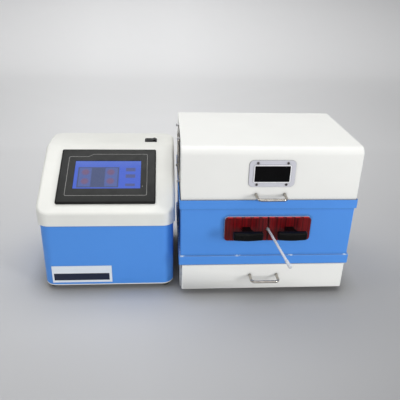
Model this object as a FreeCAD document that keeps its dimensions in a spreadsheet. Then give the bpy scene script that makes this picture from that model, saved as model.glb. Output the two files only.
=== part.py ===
import FreeCAD, Part
import Sketcher
import math
import os
from FreeCAD import Placement, Rotation, Vector

# Light stability tester: a lamp chamber with a hinged hood, two pull-out sample racks and a
# storage drawer, and a separate controller that stands at its left. Millimetres and degrees.
# +X points right, +Y to the rear, +Z up. The origin is on the bench, under the pair's centre.

SIZES = {
    # sheet steel and small hardware used all over
    "steel": 1.5,
    "seam_clearance": 0.5,
    "screw_shank_radius": 1.9,
    "screw_head_radius": 3.8,
    "screw_head_height": 2.2,
    "screw_hole_clearance": 0.2,
    "foot_height": 12,
    "foot_radius": 9,
    "foot_inset": 24,
    "foot_tread_bevel": 1.35,
    "foot_screw_depth": 4.8,
    "foot_screw_radius": 4,
    # where the two units stand
    "unit_gap": 11.8,
    "controller_setback": 18.7,
    # chamber, counted from the blue front wall
    "chamber_width": 394,
    "chamber_depth": 285,
    "lower_rim_bottom": 81.5,
    "lower_rim_top": 104,
    "upper_rim_bottom": 226.5,
    "upper_rim_top": 247,
    "rim_proud": 3.4,
    "case_corner": 3,
    "base_flange": 15,
    # hood
    "hood_top": 367.5,
    "hood_bend": 17,
    "hood_rear_bend": 9,
    "gasket_thickness": 2,
    "hood_flange": 12,
    "diffuser_thickness": 3,
    "hinge_reach": 8,
    "hinge_height": 3,
    "hinge_radius": 3.5,
    "hinge_pin_radius": 1.5,
    "hinge_width": 60,
    "hinge_spacing": 240,
    "hinge_leaf": 22,
    "running_clearance": 0.05,
    # viewing window in the hood front
    "window_width": 101.5,
    "window_height": 61.5,
    "window_level": 309.4,
    "window_corner": 10,
    "window_plate_thickness": 2,
    "pane_width": 77.5,
    "pane_height": 37,
    "pane_thickness": 3,
    "bezel_width": 2.2,
    "bezel_proud": 1.6,
    "window_screw_span": 65.5,
    "window_screw_rise": 50,
    "window_screw_head_radius": 2.6,
    # wire handles on hood and drawer
    "handle_spacing": 64,
    "handle_reach": 30,
    "handle_wire_radius": 3.2,
    "handle_bend": 9,
    "handle_collar_radius": 4,
    "handle_collar_height": 1,
    "handle_bore_depth": 9,
    "hood_handle_level": 260,
    "drawer_handle_level": 51.6,
    # lamps
    "tube_radius": 8,
    "tube_length": 288,
    "tube_pitch": 50,
    "tube_below_reflector": 13,
    "tube_cap_length": 11,
    "lamp_holder_length": 10,
    "ballast_space": 25.5,
    "reflector_thickness": 1,
    "reflector_flat": 190,
    "reflector_wing": 24,
    "reflector_drop": 22,
    "ballast_length": 200,
    "ballast_width": 42,
    # fan in the hood's left wall
    "fan_size": 119,
    "fan_depth": 25,
    "fan_bore_radius": 57,
    "fan_hub_radius": 20,
    "fan_level": 306,
    "fan_centre": 142,
    "fan_hole_span": 105,
    "fan_tip_clearance": 2,
    "fan_shaft_radius": 2.5,
    "fan_motor_depth": 5,
    "blade_thickness": 2,
    "blade_root_chord": 17,
    "blade_tip_chord": 22,
    "blade_root_pitch": 48,
    "blade_tip_pitch": 26,
    "guard_wire_radius": 1.1,
    "guard_ring_pitch": 12,
    "guard_stand": 4,
    "guard_tab_radius": 4.5,
    # drawer
    "drawer_gap": 1.2,
    "drawer_front_inset": 3.3,
    "drawer_front_proud": 3.6,
    "drawer_front_depth": 14.6,
    "drawer_front_bottom": 12.5,
    "drawer_back_gap": 1,
    "drawer_edge_bend": 3,
    "tray_sheet": 1.2,
    "tray_weld_gap": 0.1,
    "tray_side_gap": 12.5,
    "tray_bottom": 17,
    "tray_top": 68,
    "tray_length": 250,
    "runner_level": 49,
    "runner_height": 18,
    "runner_lip": 9,
    "runner_clearance": 0.3,
    "runner_length": 245,
    # sample racks
    "rack_plate_width": 97.6,
    "rack_plate_height": 58.5,
    "rack_plate_thickness": 5,
    "rack_plate_corner": 8,
    "rack_plate_edge": 0.6,
    "rack_flange": 3,
    "rack_joint": 0.8,
    "rack_level": 151.5,
    "rack_plate_drop": 4.1,
    "rack_inner": 8,
    "rack_outer": 94,
    "rack_depth": 110,
    "rack_height": 42,
    "rack_wall": 2,
    "rack_rib": 1.5,
    "rack_opening_margin": 1,
    "guide_height": 7,
    "guide_width": 4,
    "bridge_width": 208,
    "bridge_foot": 12,
    "plate_notch": 5.4,
    # T handles of the racks
    "pull_width": 66,
    "pull_height": 19,
    "pull_depth": 12,
    "pull_bow": 4,
    "pull_bow_radius": 90,
    "pull_rear_corner": 2,
    "pull_front_corner": 4,
    "pull_edge": 3.5,
    "pull_reach": 24,
    "pull_stem": 17,
    "pull_stem_height": 13,
    "pull_flare": 7,
    "pull_flare_bend": 12,
    "pull_stem_sink": 3,
    "pull_screw_rise": 3.5,
    "pull_bore_depth": 12,
    "pull_screw_reach": 9,
    "rack_screw_head_radius": 3,
    # probe rod between the racks
    "probe_radius": 2.7,
    "probe_yaw": 5.2,
    "probe_shift": 1,
    "probe_out": 158,
    "probe_in": 10,
    "probe_cap_radius": 3.7,
    "probe_cap_length": 26,
    "probe_bush_wall": 1.2,
    "probe_bush_lip": 1.2,
    "probe_bush_length": 12,
    # controller, counted from its cover's front left corner
    "controller_width": 314,
    "controller_depth": 287,
    "cover_seam": 173.6,
    "cover_lip": 31.4,
    "cover_flat_start": 183,
    "slope_angle": 28.2,
    "cover_wall": 3,
    "cover_seat": 4,
    "cover_corner": 30,
    "cover_edge": 8,
    "body_inset": 4,
    "body_corner": 27,
    "body_sheet": 2,
    "base_plate_thickness": 2.6,
    # touch panel on the slope
    "panel_width": 226.5,
    "panel_height": 163,
    "panel_proud": 6,
    "panel_corner": 4,
    "panel_centre_x": 156,
    "panel_centre_up": 108,
    "display_width": 155.4,
    "display_height": 84,
    "display_up": 1.4,
    "display_recess": 1,
    "display_thickness": 1.6,
    "panel_case_width": 202,
    "panel_case_height": 143,
    "panel_case_depth": 30,
    "clamp_width": 12,
    # rocker switch on the flat top
    "switch_x": 255.5,
    "switch_y": 222,
    "switch_width": 30.5,
    "switch_depth": 25.5,
    "switch_rim": 2,
    "switch_body_depth": 22,
    "rocker_half_tilt": 10,
    "rocker_pivot_radius": 1.6,
    "rocker_clearance": 0.4,
    "rocker_side_gap": 0.7,
    "rocker_keel": 5,
    "rocker_well": 9,
    # electronics, label and rear sockets
    "board_width": 130,
    "board_depth": 95,
    "board_level": 10,
    "board_thickness": 1.6,
    "board_boss_inset": 6,
    "board_boss_radius": 3.5,
    "supply_width": 98,
    "supply_depth": 160,
    "supply_height": 40,
    "label_width": 140,
    "label_height": 45.5,
    "label_left": 24,
    "label_bottom": 20,
    "label_thickness": 0.6,
    "rear_socket_offset": 118,
    "rear_socket_height": 40,
    "inlet_height_above_plate": 34,
    "inlet_width": 48,
    "inlet_height": 28,
    "inlet_flange": 2.5,
    "inlet_depth": 18,
    "inlet_floor": 2,
    "inlet_pin_pitch": 7,
    "inlet_pin_setback": 4,
    "socket_radius": 9,
    "socket_reach": 12,
    "socket_bore": 5.8,
}
TUBE_COUNT = 4
BAY_COUNT = 5
BLADE_COUNT = 7
GUARD_RINGS = 4

# Blocks on the control board: x and y from its centre, width, depth and height
BOARD_BLOCKS = {
    "supply_terminals": (-38, -36, 40, 10, 12),
    "signal_terminals": (30, -36, 50, 10, 12),
    "processor": (0, 8, 26, 26, 3),
    "left_relay": (-44, 22, 20, 24, 18),
    "right_relay": (44, 22, 20, 24, 18),
}


class Size:
    """A length that knows its value and the spreadsheet expression it comes from."""

    def __init__(self, value, text):
        self.value = float(value)
        self.text = text

    def __float__(self):
        return self.value

    def __add__(self, other):
        return Size(self.value + float(other), f"({self.text} + {text_of(other)})")

    def __radd__(self, other):
        return Size(float(other) + self.value, f"({text_of(other)} + {self.text})")

    def __sub__(self, other):
        return Size(self.value - float(other), f"({self.text} - {text_of(other)})")

    def __rsub__(self, other):
        return Size(float(other) - self.value, f"({text_of(other)} - {self.text})")

    def __mul__(self, other):
        return Size(self.value * float(other), f"({self.text} * {text_of(other)})")

    __rmul__ = __mul__

    def __truediv__(self, other):
        return Size(self.value / float(other), f"({self.text} / {text_of(other)})")

    def __neg__(self):
        return Size(-self.value, f"(0 - {self.text})")


def text_of(value):
    """The expression text of a size or of a plain number."""
    if isinstance(value, Size):
        return value.text
    return f"({float(value)!r})"


def sine(angle):
    return Size(math.sin(math.radians(float(angle))), f"sin({text_of(angle)})")


def cosine(angle):
    return Size(math.cos(math.radians(float(angle))), f"cos({text_of(angle)})")


def tangent(angle):
    return Size(math.tan(math.radians(float(angle))), f"tan({text_of(angle)})")


doc = FreeCAD.newDocument("LightStabilityTester")
sheet = doc.addObject("Spreadsheet::Sheet", "dims")
for row, (alias, amount) in enumerate(SIZES.items(), start=1):
    sheet.set(f"A{row}", alias)
    sheet.set(f"B{row}", str(amount))
    sheet.setAlias(f"B{row}", alias)
doc.recompute()


def size(alias):
    """The sheet's value of that name, tied to its cell."""
    return Size(sheet.get(alias), f"dims.{alias}")


zero = Size(0, "0")


def rect(x0, y0, x1, y1, corner=None):
    """A rectangle's four corners, rounded where a corner radius is given."""
    points = [(x0, y0), (x1, y0), (x1, y1), (x0, y1)]
    if corner is None:
        return points
    return [(x, y, corner) for x, y in points]


def centred_rect(x, y, width, height, corner=None):
    return rect(x - width / 2, y - height / 2, x + width / 2, y + height / 2, corner)


def circle(x, y, radius):
    return ("circle", x, y, radius)


def tie(sketch, constraint, value):
    """Adds a constraint and ties its value to the sheet."""
    index = sketch.addConstraint(constraint)
    sketch.setExpression(f"Constraints[{index}]", text_of(value))


def pin_point(sketch, geometry, end, x, y):
    """Holds a sketch point at a place given by two sizes."""
    for kind, value, axis in (("DistanceX", x, -2), ("DistanceY", y, -1)):
        if not isinstance(value, Size) and value == 0:
            sketch.addConstraint(Sketcher.Constraint("PointOnObject", geometry, end, axis))
        else:
            tie(sketch, Sketcher.Constraint(kind, geometry, end, float(value)), value)


def draw_circle(sketch, x, y, radius):
    centre = Vector(float(x), float(y), 0)
    ring = sketch.addGeometry(Part.Circle(centre, Vector(0, 0, 1), float(radius)))
    tie(sketch, Sketcher.Constraint("Radius", ring, float(radius)), radius)
    pin_point(sketch, ring, 3, x, y)


def draw_outline(sketch, corners, closed=True):
    """Draws straight runs through the corners. A corner is (x, y), or (x, y, radius) if round."""
    count = len(corners)
    points = [Vector(float(corner[0]), float(corner[1]), 0) for corner in corners]
    radii = [float(corner[2]) if len(corner) > 2 else 0.0 for corner in corners]
    enters = list(points)
    leaves = list(points)
    for i in range(count):
        if radii[i] == 0:
            continue
        back = (points[i - 1] - points[i]).normalize()
        onward = (points[(i + 1) % count] - points[i]).normalize()
        cut = radii[i] / math.tan(back.getAngle(onward) / 2)
        enters[i] = points[i] + back * cut
        leaves[i] = points[i] + onward * cut
    line_count = count if closed else count - 1
    lines = []
    for i in range(line_count):
        run = Part.LineSegment(leaves[i], enters[(i + 1) % count])
        lines.append(sketch.addGeometry(run))
    for i, corner in enumerate(corners):
        if not closed and i == 0:
            pin_point(sketch, lines[0], 1, corner[0], corner[1])
            continue
        if not closed and i == count - 1:
            pin_point(sketch, lines[-1], 2, corner[0], corner[1])
            continue
        before = lines[i - 1]
        after = lines[i]
        if radii[i] == 0:
            sketch.addConstraint(Sketcher.Constraint("Coincident", before, 2, after, 1))
            pin_point(sketch, after, 1, corner[0], corner[1])
            continue
        round_corner(sketch, before, after, enters[i], points[i], leaves[i], corner)


def round_corner(sketch, before, after, enter, point, leave, corner):
    """Joins two runs by a tangent arc whose sharp corner stays at its sizes."""
    centre = point + ((enter - point) + (leave - point)) * (
        1 / (1 + math.cos((enter - point).getAngle(leave - point)))
    )
    middle = centre + (point - centre).normalize() * float(corner[2])
    arc = sketch.addGeometry(Part.Arc(enter, middle, leave))
    first, last = (1, 2)
    if sketch.getPoint(arc, 1).distanceToPoint(enter) > sketch.getPoint(arc, 1).distanceToPoint(leave):
        first, last = (2, 1)
    mark = sketch.addGeometry(Part.Point(point), True)
    sketch.addConstraint(Sketcher.Constraint("Tangent", before, 2, arc, first))
    sketch.addConstraint(Sketcher.Constraint("Tangent", arc, last, after, 1))
    sketch.addConstraint(Sketcher.Constraint("PointOnObject", mark, 1, before))
    sketch.addConstraint(Sketcher.Constraint("PointOnObject", mark, 1, after))
    pin_point(sketch, mark, 1, corner[0], corner[1])
    tie(sketch, Sketcher.Constraint("Radius", arc, float(corner[2])), corner[2])


def straight_along(edge, direction):
    """True for a straight edge parallel to the direction."""
    if edge.Curve.TypeId != "Part::GeomLine":
        return False
    return abs(abs(edge.Curve.Direction.dot(direction)) - 1) < 1e-6


X_AXIS = Vector(1, 0, 0)
Y_AXIS = Vector(0, 1, 0)
Z_AXIS = Vector(0, 0, 1)
BEYOND = 5
NODES = []


class Piece:
    """One sub-part: a body whose sketches and features are tied to the sheet."""

    def __init__(self, name, x=0, y=0, z=0, turn=None, axis=X_AXIS):
        self.name = name
        self.body = doc.addObject("PartDesign::Body", name)
        self.body.Label = name
        self.body.AllowCompound = True
        self.body.Placement = Placement(Vector(0, 0, 0), Rotation(axis, 1 if turn is not None else 0))
        for path, value in (("x", x), ("y", y), ("z", z)):
            self.body.setExpression(f"Placement.Base.{path}", text_of(value))
        if turn is not None:
            self.body.setExpression("Placement.Rotation.Angle", text_of(turn))
        self.count = 0
        NODES.append(self.body)

    def add(self, kind):
        self.count += 1
        return self.body.newObject(kind, f"{self.name}_{self.count}")

    def settle(self, feature):
        """Recomputes, and stops where the feature failed."""
        doc.recompute()
        if "Invalid" in feature.State or "Error" in feature.State:
            raise RuntimeError(f"{feature.Name} of {self.name} did not build: {feature.getStatusString()}")
        return feature

    def sketch(self, plane, level, outlines, turn=None, turn_axis=Z_AXIS, slide=None):
        """A sketch at a level along the plane's own axis: XY up Z, XZ along Y, YZ along X."""
        sketch = self.add("Sketcher::SketchObject")
        base = next(item for item in self.body.Origin.OriginFeatures if item.Role == plane + "_Plane")
        sketch.AttachmentSupport = [(base, "")]
        sketch.MapMode = "FlatFace"
        if turn is not None:
            sketch.AttachmentOffset = Placement(Vector(0, 0, 0), Rotation(turn_axis, 1))
            sketch.setExpression("AttachmentOffset.Rotation.Angle", text_of(turn))
        sketch.setExpression("AttachmentOffset.Base.z", text_of(-level if plane == "XZ" else level))
        if slide is not None:
            sketch.setExpression("AttachmentOffset.Base.y", text_of(slide))
        for outline in outlines:
            if outline[0] == "circle":
                draw_circle(sketch, *outline[1:])
            else:
                draw_outline(sketch, outline)
        return sketch

    def pad(self, plane, start, end, *outlines, taper=None):
        """Adds the outlines' area from start to end along the plane's axis."""
        sketch = self.sketch(plane, end if plane == "XZ" else start, outlines)
        feature = self.add("PartDesign::Pad")
        feature.Profile = sketch
        feature.setExpression("Length", text_of(end - start))
        if taper is not None:
            feature.setExpression("TaperAngle", text_of(taper))
        return self.settle(feature)

    def cut(self, plane, start, end, *outlines):
        """Takes the outlines' area away from start to end along the plane's axis."""
        sketch = self.sketch(plane, end if plane == "XZ" else start, outlines)
        return self.cut_sketch(sketch, end - start)

    def cut_sketch(self, sketch, depth):
        before = self.body.Shape.Volume
        feature = self.add("PartDesign::Pocket")
        feature.Profile = sketch
        feature.Reversed = True
        feature.setExpression("Length", text_of(depth))
        self.settle(feature)
        if self.body.Shape.Volume > before - 1e-6:
            raise RuntimeError(f"{feature.Name} of {self.name} takes nothing away")
        return feature

    def revolve(self, *outlines, axis="V_Axis"):
        """Turns outlines in the XZ plane round the body's Z axis, or its X axis with H_Axis."""
        sketch = self.sketch("XZ", zero, outlines)
        feature = self.add("PartDesign::Revolution")
        feature.Profile = sketch
        feature.ReferenceAxis = (sketch, [axis])
        feature.Angle = 360
        return self.settle(feature)

    def dress(self, kind, amount, chosen):
        """Rounds or bevels the edges of the last feature that the test picks."""
        doc.recompute()
        last = self.body.Tip
        edges = [f"Edge{i}" for i, edge in enumerate(last.Shape.Edges, start=1) if chosen(edge)]
        if not edges:
            raise RuntimeError(f"no edges to dress on {self.name}")
        feature = self.add(kind)
        feature.Base = (last, edges)
        feature.setExpression("Radius" if kind.endswith("Fillet") else "Size", text_of(amount))
        return self.settle(feature)

    def fillet(self, radius, chosen):
        return self.dress("PartDesign::Fillet", radius, chosen)

    def chamfer(self, amount, chosen):
        return self.dress("PartDesign::Chamfer", amount, chosen)


def at_level(edge, **levels):
    """True where the edge's middle lies at the given x, y or z."""
    middle = edge.CenterOfMass
    return all(abs(getattr(middle, name) - float(level)) < 0.01 for name, level in levels.items())


# Places of the two units. The pair is centred on the origin in plan.
steel = size("steel")
chamber_width = size("chamber_width")
chamber_depth = size("chamber_depth")
half_width = chamber_width / 2
rim_proud = size("rim_proud")
controller_width = size("controller_width")
controller_depth = size("controller_depth")
rack_face = size("rack_plate_thickness") + size("rack_flange")
probe_yaw = size("probe_yaw")
front_most = rack_face + size("probe_out") * cosine(probe_yaw)
rear_most = (size("controller_setback") + controller_depth - size("body_inset")
             + size("socket_reach"))
CHAMBER_X = (size("unit_gap") + controller_width - rim_proud) / 2
CHAMBER_Y = (front_most - rear_most) / 2
CONTROLLER_X = CHAMBER_X - half_width - size("unit_gap") - controller_width
CONTROLLER_Y = CHAMBER_Y + size("controller_setback")


def chamber_piece(name, x=0, y=0, z=0, turn=None, axis=X_AXIS):
    return Piece(name, CHAMBER_X + x, CHAMBER_Y + y, z, turn, axis)


def controller_piece(name, x=0, y=0, z=0, turn=None, axis=X_AXIS):
    return Piece(name, CONTROLLER_X + x, CONTROLLER_Y + y, z, turn, axis)


# Levels and planes that several pieces share
foot_height = size("foot_height")
lower_ledge = size("lower_rim_top") - steel
upper_ledge = size("upper_rim_bottom") + steel
case_back = chamber_depth
inner_half = half_width - steel
drawer_back = size("drawer_front_depth") - size("drawer_front_proud")
base_front = drawer_back + size("drawer_back_gap")
overhang_level = size("lower_rim_bottom") + 2.5
seam = size("seam_clearance")
screw_shank = size("screw_shank_radius")
screw_hole = screw_shank + size("screw_hole_clearance")
socket_body = size("socket_radius") - 1.7
socket_hole = socket_body + size("screw_hole_clearance")
rear_socket_x = -size("rear_socket_offset")
rear_socket_z = foot_height + size("rear_socket_height")


def base_housing():
    """White steel base: a box open at the front for the drawer, with a flange that carries the
    chamber floor."""
    piece = chamber_piece("base_housing")
    piece.pad("XY", foot_height, overhang_level, rect(-half_width, base_front, half_width, case_back))
    piece.pad("XY", overhang_level, lower_ledge, rect(-half_width, zero, half_width, case_back))
    piece.fillet(size("case_corner"), lambda edge: straight_along(edge, Z_AXIS))
    back = case_back - steel
    floor = foot_height + steel
    flange_top = lower_ledge - steel
    piece.cut("XY", floor, overhang_level, rect(-inner_half, base_front - BEYOND, inner_half, back))
    piece.cut("XY", overhang_level, overhang_level + steel,
              rect(-inner_half, base_front + steel, inner_half, back))
    piece.cut("XY", overhang_level + steel, flange_top, rect(-inner_half, steel, inner_half, back))
    flange = size("base_flange")
    piece.cut("XY", flange_top, lower_ledge,
              rect(flange - half_width, flange, half_width - flange, case_back - flange))
    piece.cut("XZ", back, case_back, circle(rear_socket_x, rear_socket_z, socket_hole))


def feet(name, make_piece, spots):
    """Rubber feet with a bevelled tread and a countersunk screw hole."""
    radius = size("foot_radius")
    piece = make_piece(name)
    piece.pad("XY", zero, foot_height, *[circle(x, y, radius) for x, y in spots])
    piece.chamfer(size("foot_tread_bevel"), lambda edge: edge.BoundBox.ZMax < 0.01)
    piece.cut("XY", zero, size("foot_screw_depth"),
              *[circle(x, y, size("foot_screw_radius")) for x, y in spots])


def chamber_body():
    """Blue test chamber: four walls whose sheet steps outwards into a rim at top and bottom."""
    piece = chamber_piece("chamber_body")
    rim = half_width + rim_proud
    piece.pad("XY", size("lower_rim_bottom"), size("lower_rim_top"),
              rect(-rim, -rim_proud, rim, case_back + rim_proud, size("case_corner")))
    piece.pad("XY", size("lower_rim_top"), size("upper_rim_bottom"),
              rect(-half_width, zero, half_width, case_back, size("case_corner")))
    piece.pad("XY", size("upper_rim_bottom"), size("upper_rim_top"),
              rect(-rim, -rim_proud, rim, case_back + rim_proud, size("case_corner")))
    inner_rim = rim - steel
    inner_y = rim_proud - steel
    piece.cut("XY", size("lower_rim_bottom"), lower_ledge,
              rect(-inner_rim, -inner_y, inner_rim, case_back + inner_y))
    piece.cut("XY", lower_ledge, upper_ledge, rect(-inner_half, steel, inner_half, case_back - steel))
    piece.cut("XY", upper_ledge, size("upper_rim_top"),
              rect(-inner_rim, -inner_y, inner_rim, case_back + inner_y))
    margin = size("rack_opening_margin")
    half_opening = size("rack_outer") + margin
    low = size("rack_level") - margin
    high = size("rack_level") + size("rack_height") + margin
    piece.cut("XZ", zero - BEYOND, steel + BEYOND,
              rect(-half_opening, low, half_opening, high, margin * 3))


def chamber_floor():
    """Steel floor plate that lies on the base flange."""
    piece = chamber_piece("chamber_floor")
    half = inner_half - seam
    piece.pad("XY", lower_ledge, lower_ledge + steel,
              rect(-half, steel + seam, half, case_back - steel - seam))


floor_top = lower_ledge + steel
rack_level = size("rack_level")
rack_depth = size("rack_depth")


def rack_bridge():
    """Folded bench inside the chamber that carries both racks."""
    piece = chamber_piece("rack_bridge")
    half = size("bridge_width") / 2
    foot = half + size("bridge_foot")
    under = rack_level - steel
    profile = [
        (-foot, floor_top), (steel - half, floor_top), (steel - half, under), (half - steel, under),
        (half - steel, floor_top), (foot, floor_top), (foot, floor_top + steel),
        (half, floor_top + steel), (half, rack_level), (-half, rack_level),
        (-half, floor_top + steel), (-foot, floor_top + steel),
    ]
    piece.pad("XZ", steel + 1, rack_depth + 14, profile)


def rack_guides():
    """Low-friction strips on the bench, outside and between the racks."""
    piece = chamber_piece("rack_guides")
    outer = size("rack_outer") + seam
    inner = size("rack_inner") - seam
    strip = size("guide_width")
    low = rack_level
    high = rack_level + size("guide_height")
    piece.pad("XZ", steel + 2, rack_depth + 8,
              rect(-outer - strip, low, -outer, high),
              rect(-inner, low, inner, high),
              rect(outer, low, outer + strip, high))


def hood_gasket():
    """Rubber strip on the upper ledge, where the hood sits."""
    piece = chamber_piece("hood_gasket")
    inner = inner_half + 0.2
    outer = half_width + rim_proud - steel - 0.2
    extra = rim_proud - steel - 0.2
    piece.pad("XY", upper_ledge, upper_ledge + size("gasket_thickness"),
              rect(-outer, -extra, outer, case_back + extra),
              rect(-inner, steel - 0.2, inner, case_back - steel + 0.2))


hinge_y = case_back + size("hinge_reach")
hinge_z = size("upper_rim_top") + size("hinge_height")
hinge_radius = size("hinge_radius")
pin_bore = size("hinge_pin_radius") + size("running_clearance")
hinge_third = size("hinge_width") / 3
hinge_centres = [-size("hinge_spacing") / 2, size("hinge_spacing") / 2]


def hinge_leaves(name, wall_y, plate_low, plate_high, web_low, web_high, knuckles):
    """One half of both hinges. Each knuckle span is counted in thirds of the hinge width."""
    piece = chamber_piece(name)
    half = size("hinge_width") / 2
    for centre in hinge_centres:
        piece.pad("YZ", centre - half, centre + half,
                  rect(wall_y, plate_low, wall_y + steel, plate_high))
        for third in knuckles:
            start = centre - half + hinge_third * third + seam / 2
            end = centre - half + hinge_third * (third + 1) - seam / 2
            piece.pad("YZ", start, end, rect(wall_y, web_low, hinge_y, web_high))
            piece.pad("YZ", start, end, circle(hinge_y, hinge_z, hinge_radius))
    for centre in hinge_centres:
        piece.cut("YZ", centre - half, centre + half, circle(hinge_y, hinge_z, pin_bore))


def hinges():
    leaf = size("hinge_leaf")
    fixed_wall = case_back + rim_proud
    plate_high = hinge_z - hinge_radius - seam
    hinge_leaves("hinge_base_leaves", fixed_wall, hinge_z - leaf, plate_high,
                 plate_high - 1, hinge_z, (0, 2))
    hinge_leaves("hood_hinge_leaves", case_back, hinge_z + 1, hinge_z + leaf,
                 hinge_z, hinge_z + 3, (1,))
    pins = chamber_piece("hinge_pins")
    half = size("hinge_width") / 2
    for centre in hinge_centres:
        pins.pad("YZ", centre - half, centre + half,
                 circle(hinge_y, hinge_z, size("hinge_pin_radius")))


hood_bottom = upper_ledge + size("gasket_thickness")
hood_top = size("hood_top")
window_level = size("window_level")
fan_y = size("fan_centre")
fan_z = size("fan_level")
handle_half = size("handle_spacing") / 2


def window_screw_spots():
    across = size("window_screw_span") / 2
    up = size("window_screw_rise") / 2
    return [(x, window_level + z) for x in (-across, across) for z in (-up, up)]


def fan_screw_spots():
    half = size("fan_hole_span") / 2
    return [(y, z) for y in (-half, half) for z in (-half, half)]


def hood_shell():
    """White folded hood, rounded at its front and rear top edges, with an inward flange below."""
    piece = chamber_piece("hood_shell")
    profile = [(zero, hood_bottom), (zero, hood_top, size("hood_bend")),
               (case_back, hood_top, size("hood_rear_bend")), (case_back, hood_bottom)]
    piece.pad("YZ", -half_width, half_width, profile)
    back = case_back - steel
    inner = [(steel, hood_bottom + steel), (steel, hood_top - steel, size("hood_bend") - steel),
             (back, hood_top - steel, size("hood_rear_bend") - steel), (back, hood_bottom + steel)]
    piece.cut("YZ", -inner_half, inner_half, inner)
    flange = size("hood_flange")
    piece.cut("XY", hood_bottom, hood_bottom + steel,
              rect(flange - half_width, flange, half_width - flange, case_back - flange))
    piece.cut("XZ", zero - BEYOND, steel,
              centred_rect(zero, window_level, size("pane_width"), size("pane_height")),
              *[circle(x, z, screw_hole) for x, z in window_screw_spots()],
              *[circle(x, size("hood_handle_level"), screw_hole) for x in (-handle_half, handle_half)])
    piece.cut("YZ", -half_width, -inner_half, circle(fan_y, fan_z, size("fan_bore_radius")),
              *[circle(fan_y + y, fan_z + z, screw_hole) for y, z in fan_screw_spots()])


def viewing_window():
    """Grey plate with rounded corners, raised white bezel, dark pane and four screws."""
    pane_w = size("pane_width")
    pane_h = size("pane_height")
    plate = chamber_piece("window_plate")
    thick = size("window_plate_thickness")
    plate.pad("XZ", -thick, zero,
              centred_rect(zero, window_level, size("window_width"), size("window_height"),
                           size("window_corner")),
              centred_rect(zero, window_level, pane_w, pane_h, size("bezel_width")))
    plate.chamfer(thick * 0.3, lambda edge: at_level(edge, y=-thick) and edge.BoundBox.ZLength > 0.1
                 and abs(edge.CenterOfMass.x) > float(pane_w) / 2 + 1)
    plate.cut("XZ", -thick, zero, *[circle(x, z, screw_hole) for x, z in window_screw_spots()])
    bezel = chamber_piece("window_bezel")
    ring = size("bezel_width")
    bezel.pad("XZ", -thick - size("bezel_proud"), -thick,
              centred_rect(zero, window_level, pane_w + ring * 2, pane_h + ring * 2, ring * 2),
              centred_rect(zero, window_level, pane_w, pane_h, ring))
    pane = chamber_piece("window_pane")
    pane.pad("XZ", -thick, size("pane_thickness") - thick,
             centred_rect(zero, window_level, pane_w - 0.2, pane_h - 0.2, ring))
    screws = chamber_piece("window_screws")
    screws.pad("XZ", -thick - size("screw_head_height"), -thick,
               *[circle(x, z, size("window_screw_head_radius")) for x, z in window_screw_spots()])
    screws.chamfer(size("screw_head_height") * 0.4,
                  lambda edge: at_level(edge, y=-thick - size("screw_head_height")))
    screws.pad("XZ", -thick, steel + 4, *[circle(x, z, screw_shank) for x, z in window_screw_spots()])


def wire_handle(name, y_face, level):
    """Round-wire bow handle with two straight legs, rounded corners and a collar at each foot."""
    reach = size("handle_reach")
    wire = size("handle_wire_radius")
    piece = chamber_piece(name, y=y_face, z=level)
    spine = piece.sketch("XY", zero, [])
    draw_outline(spine, [(-handle_half, 0), (-handle_half, -reach, size("handle_bend")),
                         (handle_half, -reach, size("handle_bend")), (handle_half, 0)], closed=False)
    profile = piece.sketch("XZ", zero, [circle(-handle_half, 0, wire)])
    doc.recompute()
    pipe = piece.add("PartDesign::AdditivePipe")
    pipe.Profile = profile
    pipe.Spine = (spine, [f"Edge{i + 1}" for i in range(5)])
    doc.recompute()
    legs = (-handle_half, handle_half)
    piece.pad("XZ", -size("handle_collar_height"), zero,
              *[circle(x, 0, size("handle_collar_radius")) for x in legs])
    piece.cut("XZ", -size("handle_bore_depth"), zero,
              *[circle(x, 0, screw_shank + 0.1) for x in legs])


def handle_screws(name, y_face, level, panel):
    """Two screws from inside the panel into the handle's legs."""
    piece = chamber_piece(name, y=y_face, z=level)
    legs = (-handle_half, handle_half)
    piece.pad("XZ", panel, panel + size("screw_head_height"),
              *[circle(x, 0, size("screw_head_radius")) for x in legs])
    piece.pad("XZ", 1 - size("handle_bore_depth"), panel, *[circle(x, 0, screw_shank) for x in legs])


reflector_level = hood_top - size("ballast_space")
tube_level = reflector_level - size("tube_below_reflector")
tube_half = size("tube_length") / 2
tube_ys = [case_back / 2 + size("tube_pitch") * (i - (TUBE_COUNT - 1) / 2) for i in range(TUBE_COUNT)]


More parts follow.
